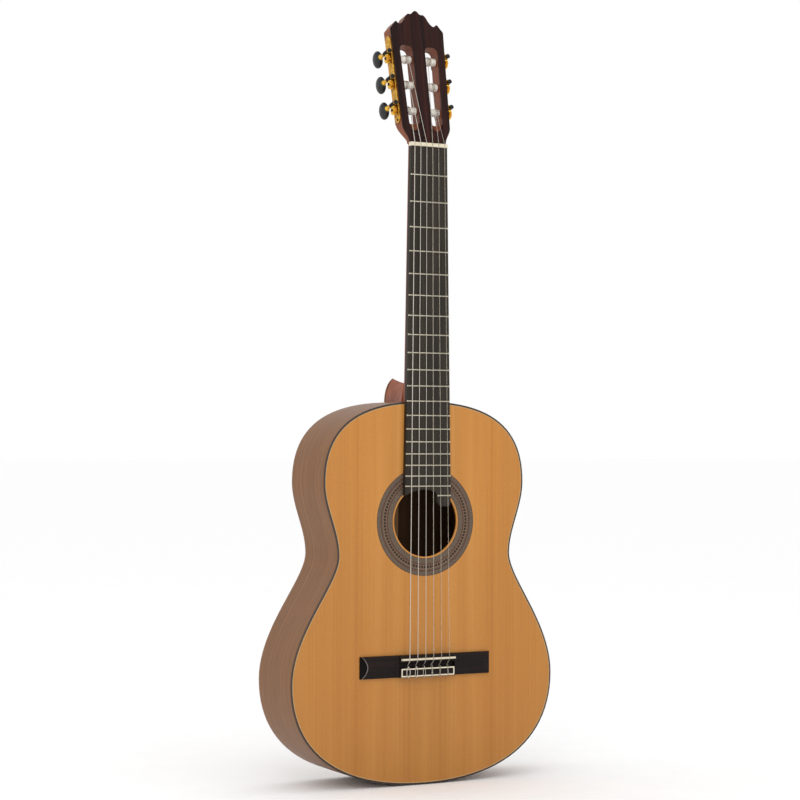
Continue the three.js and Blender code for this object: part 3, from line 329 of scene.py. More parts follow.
MATERIALS = {
    "cedar_top": make_cedar(),
    "walnut_body": wood(
        "walnut_back", ((108, 70, 40), (122, 83, 50), (131, 92, 58), (144, 105, 70)),
        (5, 60, 520), (0.8, 8, 60), book=True, pores=0.03, shade=0.86, coat=0.08, shine=0.25,
    ),
    "walnut_side": wood(
        "walnut_side", ((108, 68, 36), (120, 79, 43), (127, 85, 48), (137, 95, 58)),
        (520, 1.7, 520), (60, 0.6, 60), pores=0.03, shade=0.88, shine=0.2,
    ),
    "walnut_raw": wood(
        "walnut_inside", ((58, 38, 22), (72, 48, 30), (84, 58, 38)),
        (40, 60, 520), (1.4, 8, 60), book=True, rough=(0.7, 0.85), shine=0.2,
    ),
    "mahogany": wood(
        "mahogany", ((124, 62, 38), (142, 76, 48), (158, 90, 60)),
        (7, 16, 260), (0.8, 1.6, 22), pores=0.05, shade=0.86, shine=0.25,
    ),
    "head_mahogany": wood(
        "head_mahogany", ((112, 58, 32), (128, 68, 39), (142, 80, 48)),
        (7, 16, 260), (0.8, 1.6, 22), tilt=-HEAD_TILT, pores=0.05, shade=0.86, shine=0.2,
    ),
    "spruce_inside": wood(
        "spruce", ((136, 98, 58), (152, 112, 68), (166, 126, 82)),
        (30, 30, 400), (1.4, 1.4, 200), rough=(0.7, 0.85),
    ),
    "dark_rosewood": wood(
        "rosewood_overlay", ((16, 5, 4), (34, 12, 9), (46, 18, 13), (60, 26, 18)),
        (5, 18, 240), (0.7, 2, 30), tilt=-HEAD_TILT, pores=0.04, shade=0.76, shine=0.14,
    ),
    "bridge_rosewood": wood(
        "rosewood_bridge", ((8, 5, 4), (20, 12, 9), (34, 19, 14)),
        (160, 5, 4), (24, 0.8, 0.7), pores=0.05, shade=0.78, rough=(0.5, 0.65), shine=0.17,
    ),
    # painted highlight: a light grey line for the glint along the bass wing's ridge
    "bridge_ridge_painted_highlight": make_plain("bridge_ridge_painted_highlight", ((92, 84, 80), (124, 116, 112)), 2, (0.3, 0.45)),
    # the bass wing's dished facet: end grain, darker than the face, and painted shade for a facet turned away
    # from the light
    "bridge_end_grain_and_painted_shade": make_plain(
        "bridge_end_grain_and_painted_shade", ((6, 4, 3), (14, 9, 8)), 1, (0.6, 0.8), 0.02, Specular_IOR_Level=0.1
    ),
    "fingerboard_ebony": wood(
        "ebony", ((30, 26, 20), (42, 36, 28), (54, 46, 36)),
        (5, 12, 200), (0.7, 2, 26), pores=0.03, rough=(0.45, 0.6), shine=0.25,
    ),
    "black_binding": wood(
        "binding", ((24, 13, 7), (40, 24, 14), (54, 36, 24)),
        (60, 3, 60), (12, 0.6, 12), coat=0.5, shine=0.3,
    ),
    "maple": make_plain("maple", ((172, 134, 82), (190, 154, 104)), 3, (0.35, 0.5), Coat_Weight=0.1),
    "bone": make_plain(
        "bone", ((206, 194, 166), (218, 207, 181), (226, 217, 195)), 4, (0.3, 0.45), 0.01,
        Coat_Weight=0.15,
    ),
    "nylon_string": make_plain(
        "nylon", ((178, 168, 152), (196, 187, 172)), 6, (0.25, 0.38), Alpha=0.45, Specular_IOR_Level=0.4
    ),
    "metal_wire": make_wound(),
    "fret_wire": make_plain(
        "nickel", ((176, 168, 148), (202, 196, 178)), 2, (0.25, 0.4), 0.004, Metallic=1.0
    ),
    "gold_plate": make_gold(),
    "gold_smooth": make_plain(
        "gold_smooth", ((216, 162, 44), (240, 196, 84)), 3, (0.18, 0.3), Metallic=1.0
    ),
    "black_steel": make_plain(
        "black_steel", ((24, 22, 21), (46, 43, 40)), 2, (0.28, 0.45), 0.01, Metallic=0.7
    ),
    "black_button": make_plain(
        "black_button", ((14, 18, 16), (24, 28, 26), (34, 38, 34)), 5, (0.3, 0.42), 0.01,
        Specular_IOR_Level=0.4,
    ),
    "white_roller": make_plain(
        "roller_plastic", ((214, 208, 197), (230, 225, 216)), 5, (0.38, 0.52), 0.01, Coat_Weight=0.1
    ),
}
MOSAIC = {
    "mosaic_dark": ((24, 17, 14), (44, 33, 27)),
    "mosaic_grey": ((112, 93, 75), (134, 115, 95)),
    "mosaic_tan": ((104, 78, 56), (126, 98, 72)),
    "mosaic_red": ((108, 58, 42), (128, 72, 54)),
}
for name, colours in MOSAIC.items():
    MATERIALS[name] = make_plain(name, colours, 2, (0.38, 0.5), Specular_IOR_Level=0.3)


# ---- mesh helpers

def full_turn(steps):
    """Angles round a whole turn, without its end."""
    return [2 * pi * i / steps for i in range(steps)]


def half_turn(steps):
    """Angles over half a turn, with its end."""
    return [pi * i / steps for i in range(steps + 1)]


def join_rows(bm, low, high, wrap=True):
    """Faces between two rows of vertices; wrap joins the rows' ends."""
    count = len(low)
    for i in range(count if wrap else count - 1):
        j = (i + 1) % count
        bm.faces.new((low[i], low[j], high[j], high[i]))


def skin(rows, wrap=False, loop=False, caps=False):
    """A mesh over rows of points. wrap joins each row's ends, and loop joins the last row to the first."""
    bm = bmesh.new()
    verts = [[bm.verts.new(point) for point in row] for row in rows]
    pairs = list(zip(verts, verts[1:] + verts[:1])) if loop else list(zip(verts, verts[1:]))
    for low, high in pairs:
        join_rows(bm, low, high, wrap)
    if caps:
        bm.faces.new(verts[0])
        bm.faces.new(verts[-1])
    bmesh.ops.recalc_face_normals(bm, faces=bm.faces[:])
    return bm


def solid(rows):
    """A closed mesh over rings of points."""
    return skin(rows, wrap=True, caps=True)


def prism(outline, back, front, bevel=0.0, both=False):
    """A flat outline given thickness; each face is a number or a function of the second coordinate."""
    def at(face, height):
        return face(height) if callable(face) else face
    rows = [[(x, y, at(face, y)) for x, y in outline] for face in (back, front)]
    bm = solid(rows)
    if bevel:
        bm.faces.ensure_lookup_table()
        rims = bm.faces[-2:] if both else bm.faces[-1:]
        edges = list({edge for face in rims for edge in face.edges})
        bmesh.ops.bevel(bm, geom=edges, offset=bevel, segments=3, profile=0.6, affect="EDGES",
                        clamp_overlap=True)
    return bm


def box(x, y, z, bevel=0.2):
    """A block between pairs of limits with its edges eased."""
    corners = [(x[0], y[0]), (x[1], y[0]), (x[1], y[1]), (x[0], y[1])]
    bm = prism(corners, z[0], z[1])
    bmesh.ops.bevel(bm, geom=bm.edges[:], offset=bevel, segments=2, profile=0.6, affect="EDGES")
    return bm


def lathe(profile, steps=48):
    """A shape turned about the third axis from (radius, place) points, with its ends on the axis."""
    angles = full_turn(steps)
    return solid([[(r * cos(a), r * sin(a), along) for a in angles] for r, along in profile])


def rod(radius, low, high, steps=32):
    """A round bar along the third axis."""
    return lathe([(0, low), (radius, low), (radius, high), (0, high)], steps)


def tube(points, radius, sides=10, closed=False):
    """A round tube through points; radius is a number or one number for each point."""
    points = [Vector(point) for point in points]
    count = len(points)
    radii = radius if isinstance(radius, (list, tuple)) else [radius] * count
    across = None
    rows = []
    for i, point in enumerate(points):
        before = points[i - 1] if i or closed else point
        after = points[(i + 1) % count] if i + 1 < count or closed else point
        along = (after - before).normalized()
        if across is None:
            across = along.orthogonal()
        across = (across - along * across.dot(along)).normalized()
        other = along.cross(across)
        rows.append([point + radii[i] * (across * cos(a) + other * sin(a)) for a in full_turn(sides)])
    return skin(rows, wrap=True, loop=closed, caps=not closed)


def to_mesh(bm, name):
    mesh = bpy.data.meshes.new(name)
    bm.to_mesh(mesh)
    bm.free()
    return mesh


def add_object(name, data):
    obj = bpy.data.objects.new(name, data)
    bpy.context.scene.collection.objects.link(obj)
    return obj


def merged(*meshes):
    """Several meshes as the islands of one."""
    whole = bmesh.new()
    for bm in meshes:
        mesh = to_mesh(bm, "part")
        whole.from_mesh(mesh)
        bpy.data.meshes.remove(mesh)
    return whole


def moved(bm, matrix):
    bm.transform(matrix)
    return bm


def shift(x, y, z):
    return Matrix.Translation((x, y, z))


def spread(points, steps):
    """A smooth curve through points, each a tuple of numbers, with steps between neighbours."""
    points = [Vector(point) for point in points]
    out = []
    for i in range(len(points) - 1):
        a, b, c, d = (points[min(max(k, 0), len(points) - 1)] for k in (i - 1, i, i + 1, i + 2))
        for k in range(steps):
            t = k / steps
            out.append(0.5 * (2 * b + (c - a) * t + (2 * a - 5 * b + 4 * c - d) * t * t
                              + (3 * b - a - 3 * c + d) * t ** 3))
    out.append(points[-1])
    return out


def to_object(bm):
    return add_object("working", to_mesh(bm, "working"))


def worked(bm, *modifiers):
    """A mesh after modifiers, each given as (kind, settings); a bmesh among the settings is a tool."""
    obj = to_object(bm)
    tools = []
    for kind, settings in modifiers:
        modifier = obj.modifiers.new(kind.lower(), kind)
        for key, value in settings.items():
            if isinstance(value, bmesh.types.BMesh):
                value = to_object(value)
                tools.append(value)
            setattr(modifier, key, value)
    depsgraph = bpy.context.evaluated_depsgraph_get()
    result = bpy.data.meshes.new_from_object(obj.evaluated_get(depsgraph), depsgraph=depsgraph)
    out = bmesh.new()
    out.from_mesh(result)
    bpy.data.meshes.remove(result)
    for used in [obj, *tools]:
        mesh = used.data
        bpy.data.objects.remove(used)
        bpy.data.meshes.remove(mesh)
    return out


def boolean(operation):
    """A function that combines two closed meshes."""
    def combine(bm, other):
        settings = {"operation": operation, "solver": "EXACT", "use_self": True, "object": other}
        return worked(bm, ("BOOLEAN", settings))
    return combine


cut, common, joined = boolean("DIFFERENCE"), boolean("INTERSECT"), boolean("UNION")


def piece(name, bm, place, finish, body="guitar_body", nodes=(), sharp=35.0, others=()):
    """A piece of the guitar that rides on a body and stands for the CAD nodes given."""
    bm.transform(place)
    bmesh.ops.recalc_face_normals(bm, faces=bm.faces[:])
    mesh = to_mesh(bm, name)
    for polygon in mesh.polygons:
        polygon.use_smooth = True
    mesh.set_sharp_from_angle(angle=radians(sharp))
    for material in (finish, *others):
        mesh.materials.append(MATERIALS[material])
    obj = add_object(name, mesh)
    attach(obj, body)
    if nodes:
        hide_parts(*nodes)


def finished(node, bm, place, finish, **settings):
    """A piece that stands for one CAD node and is named after it."""
    piece(f"{node}_finished", bm, place, finish, nodes=[node], **settings)


# ---- body outline

OUTLINE = (
    ((0, 0), (124.7, 0), (LOWER_BOUT, 53), (LOWER_BOUT, 133.5)),
    ((LOWER_BOUT, 133.5), (LOWER_BOUT, 198.5), (123.8, 258), (123.8, 291.5)),
    ((123.8, 291.5), (123.8, 322.5), (143.8, 351.8), (143.8, 384)),
    ((143.8, 384), (143.8, 440.6), (114, BODY_LENGTH), (0, BODY_LENGTH)),
)
OUTLINE_STEPS = 24


def bezier(corners, steps):
    """Points along a Bezier curve of any degree."""
    out = []
    for i in range(steps + 1):
        level = [Vector(corner) for corner in corners]
        while len(level) > 1:
            level = [a.lerp(b, i / steps) for a, b in zip(level, level[1:])]
        out.append(level[0])
    return out


def mirrored(half, first=0):
    """An outline's right half and then its left one, without the points that they share."""
    return half + [Vector((-p.x, p.y)) for p in reversed(half[first:-1])]


def half_edge(inset):
    """The treble half of the outline moved inwards, from the tail to the neck."""
    points = []
    for part, corners in enumerate(OUTLINE):
        a, b, c, d = (Vector(corner) for corner in corners)
        curve = bezier(corners, OUTLINE_STEPS)
        for i in range(1 if part else 0, OUTLINE_STEPS + 1):
            t = i / OUTLINE_STEPS
            slope = (b - a) * (1 - t) ** 2 + (c - b) * 2 * t * (1 - t) + (d - c) * t ** 2
            points.append(curve[i] + Vector((-slope.y, slope.x)).normalized() * inset)
    points[0].x = 0
    points[-1].x = 0
    return points


def full_edge(inset):
    return mirrored(half_edge(inset), 1)


def moulding(profile):
    """A strip round the outline; the profile is of insets, and of levels as functions of height."""
    rows = [[(p.x, p.y, level(p.y)) for p in full_edge(inset)] for inset, level in profile]
    return skin(rows, wrap=True, loop=True)


def circle(radius, steps=144):
    return [(radius * cos(a), HOLE_HEIGHT + radius * sin(a)) for a in full_turn(steps)]


# ---- sound box

def make_soundboard():
    bm = bmesh.new()

    def ring(points, level):
        return [bm.verts.new((x, y, level)) for x, y in points]

    def edges(*rings):
        return [
            bm.edges.get((a, b)) or bm.edges.new((a, b))
            for verts in rings for a, b in zip(verts, verts[1:] + verts[:1])
        ]

    edge = full_edge(RIM)
    top_edge, back_edge = ring(edge, FRONT), ring(edge, BOARD_BACK)
    rings = [ring(circle(radius), level) for radius, level in (
        (ROSETTE_OUTER, FRONT), (ROSETTE_OUTER, FRONT - ROSETTE_DEPTH),
        (ROSETTE_INNER, FRONT - ROSETTE_DEPTH), (ROSETTE_INNER, FRONT),
        (HOLE_RADIUS + 0.3, FRONT), (HOLE_RADIUS, FRONT - 0.3), (HOLE_RADIUS, BOARD_BACK),
    )]
    for low, high in [(top_edge, back_edge), *zip(rings, rings[1:])]:
        join_rows(bm, low, high)
    for outer, inner in ((top_edge, rings[0]), (back_edge, rings[-1])):
        bmesh.ops.triangle_fill(bm, use_beauty=True, edges=edges(outer, inner))
    finished("soundboard", bm, BODY, "cedar_top")


ROSETTE_CELLS = 720
# One repeat of the middle band's inlay, from the outside in: dark blocks (D) in a tan net (T).
CHAIN = ("TTTT", "DDDT", "DDDT", "DDDT", "TTTT")
# Widths of the rings from the outside in, with the pattern of each: letters, or dark and grey rays.
ROSETTE_RINGS = (
    (0.5, "D"), (4.9, "rays"), (0.5, "D"), (0.5, "R"), (0.5, "D"), (1.6, "rays"),
    *[(1.04, row) for row in CHAIN],
    (0.5, "D"), (0.5, "R"), (0.5, "D"), (6.5, "rays"), (0.5, "D"),
)


def mosaic_colour(pattern, cell):
    """The place in MOSAIC of one cell's material."""
    if pattern == "rays":
        return cell % 2
    return "D_TR".index(pattern[cell // 2 % len(pattern)])


def make_rosette():
    share = (ROSETTE_OUTER - ROSETTE_INNER) / sum(width for width, _ in ROSETTE_RINGS)
    radii = [ROSETTE_OUTER]
    for width, _ in ROSETTE_RINGS:
        radii.append(radii[-1] - width * share)
    level = FRONT + 0.01
    base = FRONT - ROSETTE_DEPTH
    points = [circle(radius, ROSETTE_CELLS) for radius in radii]
    rows = [[(x, y, level) for x, y in row] for row in points]
    rows += [[(x, y, base) for x, y in points[-1]], [(x, y, base) for x, y in points[0]]]
    bm = skin(rows, wrap=True, loop=True)
    bm.faces.ensure_lookup_table()
    for ring, (_, pattern) in enumerate(ROSETTE_RINGS):
        for cell in range(ROSETTE_CELLS):
            bm.faces[ring * ROSETTE_CELLS + cell].material_index = mosaic_colour(pattern, cell)
    first, *others = MOSAIC
    finished("rosette", bm, BODY, first, others=others)


def make_edges():
    """Both bindings, with the light purfling line inside each."""
    def front(drop):
        return lambda height: FRONT - drop

    def back(rise):
        return lambda height: back_at(height) + rise

    round_edge = [(0, 0.6), (0.18, 0.18), (0.6, 0)]
    binding = [(0, BINDING_DEPTH), *round_edge, (BINDING_WIDTH, 0), (BINDING_WIDTH, BINDING_DEPTH)]
    purfling = [(BINDING_WIDTH, 1.5), (BINDING_WIDTH, 0), (RIM, 0), (RIM, 1.5)]
    for name, level in (("top", front), ("back", back)):
        strip = moulding([(inset, level(drop)) for inset, drop in binding])
        strip.faces.ensure_lookup_table()
        for face in strip.faces[:len(full_edge(0))]:
            face.material_index = 1
        finished(f"{name}_binding", strip, BODY, "black_binding", sharp=50, others=["walnut_side"])
        strip = moulding([(inset, level(drop)) for inset, drop in purfling])
        piece(f"{name}_purfling", strip, BODY, "maple")


GRAFT_HALF = 7
GRAFT_LINE = 0.8
HEEL_SLOT = 9


def clipped(points, others, tail, neck):
    """Matching points of two edges where the first lies beyond two distances from the middle."""
    inside = [i for i, p in enumerate(points[:-1]) if i < len(points) / 2 and p.x > tail
              or i >= len(points) / 2 and p.x > neck]
    def at(i, j, x):
        share = (x - points[i].x) / (points[j].x - points[i].x)
        return points[i].lerp(points[j], share), others[i].lerp(others[j], share)
    first, last = inside[0], inside[-1]
    pairs = [(points[i], others[i]) for i in inside]
    return [at(first - 1, first, tail), *pairs, at(last, last + 1, neck)]


def make_sides():
    high = FRONT - BINDING_DEPTH
    for name, side in (("treble", 1), ("bass", -1)):
        rows = []
        for outer, inner in clipped(half_edge(0), half_edge(SIDE_THICKNESS), GRAFT_HALF, HEEL_SLOT):
            low_outer = back_at(outer.y) + BINDING_DEPTH
            low_inner = back_at(inner.y) + BINDING_DEPTH
            rows.append([
                (side * outer.x, outer.y, low_outer), (side * outer.x, outer.y, high),
                (side * inner.x, inner.y, high), (side * inner.x, inner.y, low_inner),
            ])
        finished(f"side_{name}", solid(rows), BODY, "walnut_side")


def make_graft():
    low, high = back_at(0) + BINDING_DEPTH, FRONT - BINDING_DEPTH
    half = GRAFT_HALF - GRAFT_LINE
    middle = box((-half, half), (0, SIDE_THICKNESS), (low, high), 0.05)
    finished("end_graft", middle, BODY, "black_binding")
    sides = ((half, GRAFT_HALF), (-GRAFT_HALF, -half))
    lines = [box(x, (0.01, SIDE_THICKNESS), (low, high), 0.05) for x in sides]
    piece("end_graft_lines", merged(*lines), BODY, "maple")


def make_back():
    bm = prism(full_edge(RIM), back_at, lambda height: back_at(height) + BACK_THICKNESS)
    bm.faces.ensure_lookup_table()
    bm.faces[-1].material_index = 1
    finished("back_plate", bm, BODY, "walnut_body", others=["walnut_raw"])
    for name, half, finish, proud in (("dark", 2.2, "black_binding", 0.03), ("light", 1.2, "maple", 0.05)):
        far = BODY_LENGTH - RIM
        corners = [(-half, RIM), (half, RIM), (half, far), (-half, far)]
        strip = prism(corners, lambda h, p=proud: back_at(h) - p, lambda h: back_at(h) + 0.4)
        piece(f"back_seam_{name}", strip, BODY, finish)


def dress_inside():
    """The linings, bars, braces and blocks keep their CAD shapes and take wood finishes."""
    for name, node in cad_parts.items():
        finish = "mahogany" if name == "tail_block" else "spruce_inside"
        if name == "tail_block" or "lining" in name or "bar" in name or "bracing" in name:
            for slot in node.material_slots:
                slot.material = MATERIALS[finish]


# ---- neck and head

SHAFT_AT_NUT = 15
SHAFT_AT_BODY = 17.3
SHAFT_ROUNDNESS = 1.1
HEEL_REACH = 31.5
HEEL_HALF = 12
CAP_THICKNESS = 2.5
# Forward position, half width and reach along the neck, from the heel cap to the shaft.
HEEL = ((-42.4, 12, 31.5), (-36, 12.1, 30), (-30, 12.2, 28.5), (-12, 13, 25), (6, 15, 23.3), (20, 19, 25),
        (29, 24.5, 33), (35, 29, 46), (40, 30.5, 66))
SCARF_POINT = Vector((0, NUT + 5.6, FRONT))
SCARF_ANGLE = radians(17.5)
SCARF_NORMAL = Vector((0, -sin(SCARF_ANGLE), cos(SCARF_ANGLE)))


def shaft_ring(height):
    below = NUT - min(height, NUT)
    half = board_half(min(height, NUT))
    depth = SHAFT_AT_NUT + (SHAFT_AT_BODY - SHAFT_AT_NUT) * below / (SCALE_LENGTH / 2)
    return [
        (half * cos(a), height, FRONT - depth * abs(sin(a)) ** SHAFT_ROUNDNESS) for a in half_turn(40)
    ]


def arch(half, low, reach_up):
    """A pointed arch, from its right foot over its point to the left one."""
    return mirrored(bezier(((half, low), (half * 0.95, low + 0.72 * (reach_up - low)), (0, reach_up)), 16))


def neck_blank():
    """Shaft and heel as one smooth skin."""
    shaft = solid([shaft_ring(h) for h in range(int(BODY_LENGTH) - 4, int(NUT) + 10)])
    rings = [
        [(p.x, BODY_LENGTH + p.y, forward) for p in arch(half, -4, reach_up)]
        for forward, half, reach_up in spread(HEEL, 6)
    ]
    blank = worked(
        joined(shaft, solid(rings)),
        ("REMESH", {"mode": "VOXEL", "voxel_size": 0.9}),
        ("SMOOTH", {"factor": 0.5, "iterations": 6}),
    )
    for vert in blank.verts:
        vert.co.z = min(vert.co.z, FRONT)
        if vert.co.z > FRONT - 0.5:
            vert.co.z = FRONT
    return blank


def half_space(bm, keep_front):
    """The part of a closed mesh in front of or behind the slanted glue line, closed again."""
    geometry = bm.verts[:] + bm.edges[:] + bm.faces[:]
    result = bmesh.ops.bisect_plane(
        bm, geom=geometry, plane_co=SCARF_POINT, plane_no=SCARF_NORMAL,
        clear_inner=keep_front, clear_outer=not keep_front,
    )
    rim = [item for item in result["geom_cut"] if isinstance(item, bmesh.types.BMEdge)]
    bmesh.ops.edgeloop_fill(bm, edges=rim)
    return bm


SLOT_INNER = 8.5
SLOT_WALL = 10
SLOT_BOTTOM = 32
SLOT_TOP = 137.5
SLOT_CORNER = 8.2


def edge_x(s):
    return EDGE_FOOT + s * EDGE_SLOPE


def head_outline():
    shoulder = EDGE_HIGH.y - 2.5
    half = [
        *bezier(((BOARD_AT_NUT, 6.5), (27, 15), (33.6, 19), EDGE_LOW), 12),
        *bezier(((edge_x(shoulder), shoulder), EDGE_HIGH, (36.2, 161.9)), 6),
        *bezier(((31.6, 167.8), (29.5, 170.2), (28.3, 168.2)), 6),
        *bezier(((28.3, 168.2), (25.6, 164.8), (22.5, 165), (17, 173.3)), 10)[1:],
        *bezier(((17, 173.3), (13.5, 181), (10, 181)), 8)[1:],
        *bezier(((10, 181), (6, 180), (4, 183.4)), 6)[1:],
        *bezier(((4, 183.4), (2, 185.8), (0, 185.8)), 5)[1:],
    ]
    return mirrored(half)


def slot_tool(side):
    """A string slot with a round upper end, through the whole head."""
    right, left = edge_x(SLOT_TOP) - SLOT_WALL, SLOT_INNER
    corner = min(SLOT_CORNER, (right - left) / 2)
    points = [
        Vector((left, SLOT_BOTTOM)), Vector((edge_x(SLOT_BOTTOM) - SLOT_WALL, SLOT_BOTTOM)),
        *bezier(((right, SLOT_TOP - corner), (right, SLOT_TOP), (right - corner, SLOT_TOP)), 10),
        *bezier(((left + corner, SLOT_TOP), (left, SLOT_TOP), (left, SLOT_TOP - corner)), 10),
    ]
    return prism([(side * p.x, p.y) for p in points], -HEAD_THICKNESS - 2, 2)


RAMP_START = 18
RAMP_ANGLE = radians(27)


def ramp_tool(side):
    """A round gouge that slopes from the face down into a slot."""
    radius = (edge_x(SLOT_BOTTOM) - SLOT_WALL - SLOT_INNER) / 2
    slope = Matrix.Rotation(-pi / 2 - RAMP_ANGLE, 4, "X")
    lift = radius / cos(RAMP_ANGLE)
    centre = side * (SLOT_INNER + radius)
    return moved(rod(radius, -30, 24, 40), shift(centre, RAMP_START, lift) @ slope)


def slotted(bm):
    """A layer of the head with both string slots and their ramps cut out."""
    for tool in (slot_tool, ramp_tool):
        bm = cut(bm, merged(tool(1), tool(-1)))
    return bm


# Place, half width and roundness of sections where the head turns from a round neck to a flat plate.
NECK_BLEND = ((0, 26.4, 1.1), (9, 27, 0.9), (14, 29, 0.65), (19, 31.8, 0.42), (24, 34, 0.25),
              (29, 35.4, 0.14), (34, 36, 0.08))


def head_room():
    """The room that the carved transition from neck to head leaves for the plate."""
    front = FRONT - HEAD_FACE
    depth = HEAD_THICKNESS + front + 0.3
    steps = 48
    rings = []
    for s, half, roundness in spread(NECK_BLEND, 5):
        ring = [(half, s, 2)]
        for i in range(steps + 1):
            rise = sin(pi * min(i, steps - i) / steps) ** max(roundness, 0.05)
            ring.append((half * cos(pi * i / steps), s, front - depth * rise))
        rings.append([*ring, (-half, s, 2)])
    above = box((-50, 50), (NECK_BLEND[-1][0] - 1, 200), (-30, 5))
    return joined(solid(rings), above)


def make_neck_and_head():
    finished("neck", half_space(neck_blank(), True), BODY, "mahogany", sharp=40)
    low = back_at(BODY_LENGTH)
    foot = box((-28, 28), (BODY_LENGTH - 24, BODY_LENGTH - 4.4), (low + 5, FRONT - 4.5), 0.4)
    piece("neck_foot", foot, BODY, "mahogany")

    plate = slotted(common(prism(head_outline(), -HEAD_THICKNESS, -OVERLAY), head_room()))
    head = joined(moved(plate, BODY.inverted() @ HEAD), half_space(neck_blank(), False))
    finished("headstock", head, BODY, "head_mahogany", sharp=30)
    overlay = slotted(prism(head_outline(), -OVERLAY, 0, 0.35))
    finished("headstock_overlay", overlay, HEAD, "dark_rosewood", sharp=30)

    cap = [(p.x, BODY_LENGTH + p.y) for p in arch(HEEL_HALF, 0.05, HEEL_REACH)]
    finished("heel_cap", prism(cap, low + CAP_THICKNESS, low, 0.5), BODY, "walnut_body")


# ---- fingerboard, frets, nut

def make_fingerboard():
    """The board with its tongue, which reaches over the sound hole under the treble strings."""
    middle, corner, tongue, right, tip = 374.5, 367, 13, 32.4, 353
    half = board_half(corner)
    outline = [
        (-BOARD_AT_NUT, NUT - GLUE),
        *bezier(((-half, corner), (-half / 2, middle), (-tongue / 2, middle)), 12),
        *bezier(((-tongue / 2, middle), (tongue, middle), (tongue, corner)), 12)[1:],
        *bezier(((tongue, corner), (tongue, tip), (tongue + 10, tip)), 12)[1:],
        *bezier(((right - 4, tip), (right, tip), (right, tip + 4)), 6),
        (half, corner),
        (BOARD_AT_NUT, NUT - GLUE),
    ]
    finished("fingerboard", prism(outline, ON_TOP, BOARD_TOP, 0.35), BODY, "fingerboard_ebony", sharp=30)


def fret(height, left, right):
    """A crowned bar across the board whose ends are filed round."""
    half_width, crown, foot = 0.85, 0.95, BOARD_TOP - 0.3
    rows = []
    for x, share in ((left, 0.4), (left + 0.5, 1.0), (right - 0.5, 1.0), (right, 0.4)):
        arc = [
            (x, height + half_width * cos(a), BOARD_TOP + crown * share * sin(a)) for a in half_turn(10)
        ]
        rows.append([*arc, (x, height - half_width, foot), (x, height + half_width, foot)])
    ball = [(1.3 * sin(a), 1.2 * cos(a)) for a in half_turn(10)[1:-1]]
    ends = [moved(lathe(ball, 16), shift(x, height, BOARD_TOP)) for x in (left + 0.7, right - 0.7)]
    return merged(solid(rows), *ends)


def make_frets():
    bars = []
    for number in range(1, FRETS + 1):
        height = NUT - SCALE_LENGTH * (1 - 2 ** (-number / 12))
        half = board_half(height) - 0.3
        bars.append(fret(height, 13.6 if number == FRETS else -half, half))
    piece("frets", merged(*bars), BODY, "fret_wire", sharp=50)


def bar_along_x(profile, half):
    """A bar with one (height, forward) profile, its long edges as drawn."""
    return solid([[(x, h, f) for h, f in profile] for x in (-half, half)])


def make_nut():
    top = NUT_HIGH.z
    low, high = NUT + GLUE, NUT_HIGH.y
    profile = [
        (low, ON_TOP), (low, top - 0.5), (low + 0.15, top - 0.12), (low + 0.5, top), (low + 1.6, top),
        (high - 1.2, top - 0.9), (high - 0.3, top - 1.5), (high, top - 2.1), (high, ON_TOP),
    ]
    grooves, slits = [], []
    for x, radius in zip(string_places(NUT_PITCH), STRING_RADIUS):
        groove = [(x, low - 1, STRING_AT_NUT), (x, high + 1, STRING_AT_NUT - 0.6)]
        grooves.append(tube(groove, radius + 0.12, 12))
        sides = (x - radius - 0.1, x + radius + 0.1)
        slits.append(box(sides, (low - 1, high + 1), (STRING_AT_NUT, top + 1), 0.01))
    bar = cut(bar_along_x(profile, BOARD_AT_NUT), merged(*grooves))
    finished("nut", cut(bar, merged(*slits)), BODY, "bone")


# ---- bridge

BRIDGE_HALF = 93.2
BRIDGE_LOW = 137.4
BRIDGE_HIGH = 165.1
BRIDGE_MIDDLE = (BRIDGE_LOW + BRIDGE_HIGH) / 2
WING = 3.4
WING_TIP = 1.1
BLOCK = 8.5
BLOCK_HALF = 39.8
TIE_TOP = 149
TIE_HOLE = FRONT + 4.6                  # the level of the string holes
SADDLE_HALF = 38.5
SEAT_HALF = 1.3
RIDGE, RIDGE_SWEEP = 83.1, 8.2          # x of a wing's ridge at its middle, and how far its ends go on
RIDGE_COLUMNS = (6, 7)                  # faces on a wing's ridge, counted from the block
FACET_COLUMNS = (8, 9, 10, 11, 12)      # faces of the dished facet beyond it


def bridge_wing(side):
    """A wing that meets the block in a cove and ends in a dished facet behind a curved ridge.

    Only the bass wing colours its ridge with a painted highlight and its facet as end grain with painted
    shade.
    """
    rows = []
    steps = 16
    for k in range(steps + 1):
        height = BRIDGE_LOW + (BRIDGE_HIGH - BRIDGE_LOW) * k / steps
        ridge = RIDGE + RIDGE_SWEEP * ((height - BRIDGE_MIDDLE) / (BRIDGE_HIGH - BRIDGE_MIDDLE)) ** 2
        cove = [(BLOCK_HALF - 0.5 + 5 * t, WING + 3.2 * (1 - t) ** 2.2) for t in (0, 0.2, 0.4, 0.6, 0.8, 1)]
        tip = [(ridge - 0.6, WING), (ridge - 0.1, WING + 0.2), (ridge + 0.4, WING - 0.3)]
        for t in (0.25, 0.5, 0.75, 1.0):
            x = ridge + 0.4 + (BRIDGE_HALF - ridge - 0.4) * t
            tip.append((x, WING - 0.3 - (WING - 0.3 - WING_TIP) * (1 - (1 - t) ** 1.8)))
        top = [(side * x, height, FRONT + z) for x, z in (*cove, *tip)]
        rows.append([*top, (side * BRIDGE_HALF, height, ON_TOP), (side * cove[0][0], height, ON_TOP)])
    bm = solid(rows)
    if side > 0:
        return bm
    bm.faces.ensure_lookup_table()
    columns = len(rows[0])
    for face in range(steps * columns):
        column = face % columns
        # material 1 is the ridge's painted highlight, material 2 the facet's end grain with painted shade
        bm.faces[face].material_index = 1 if column in RIDGE_COLUMNS else 2 if column in FACET_COLUMNS else 0
    return bm


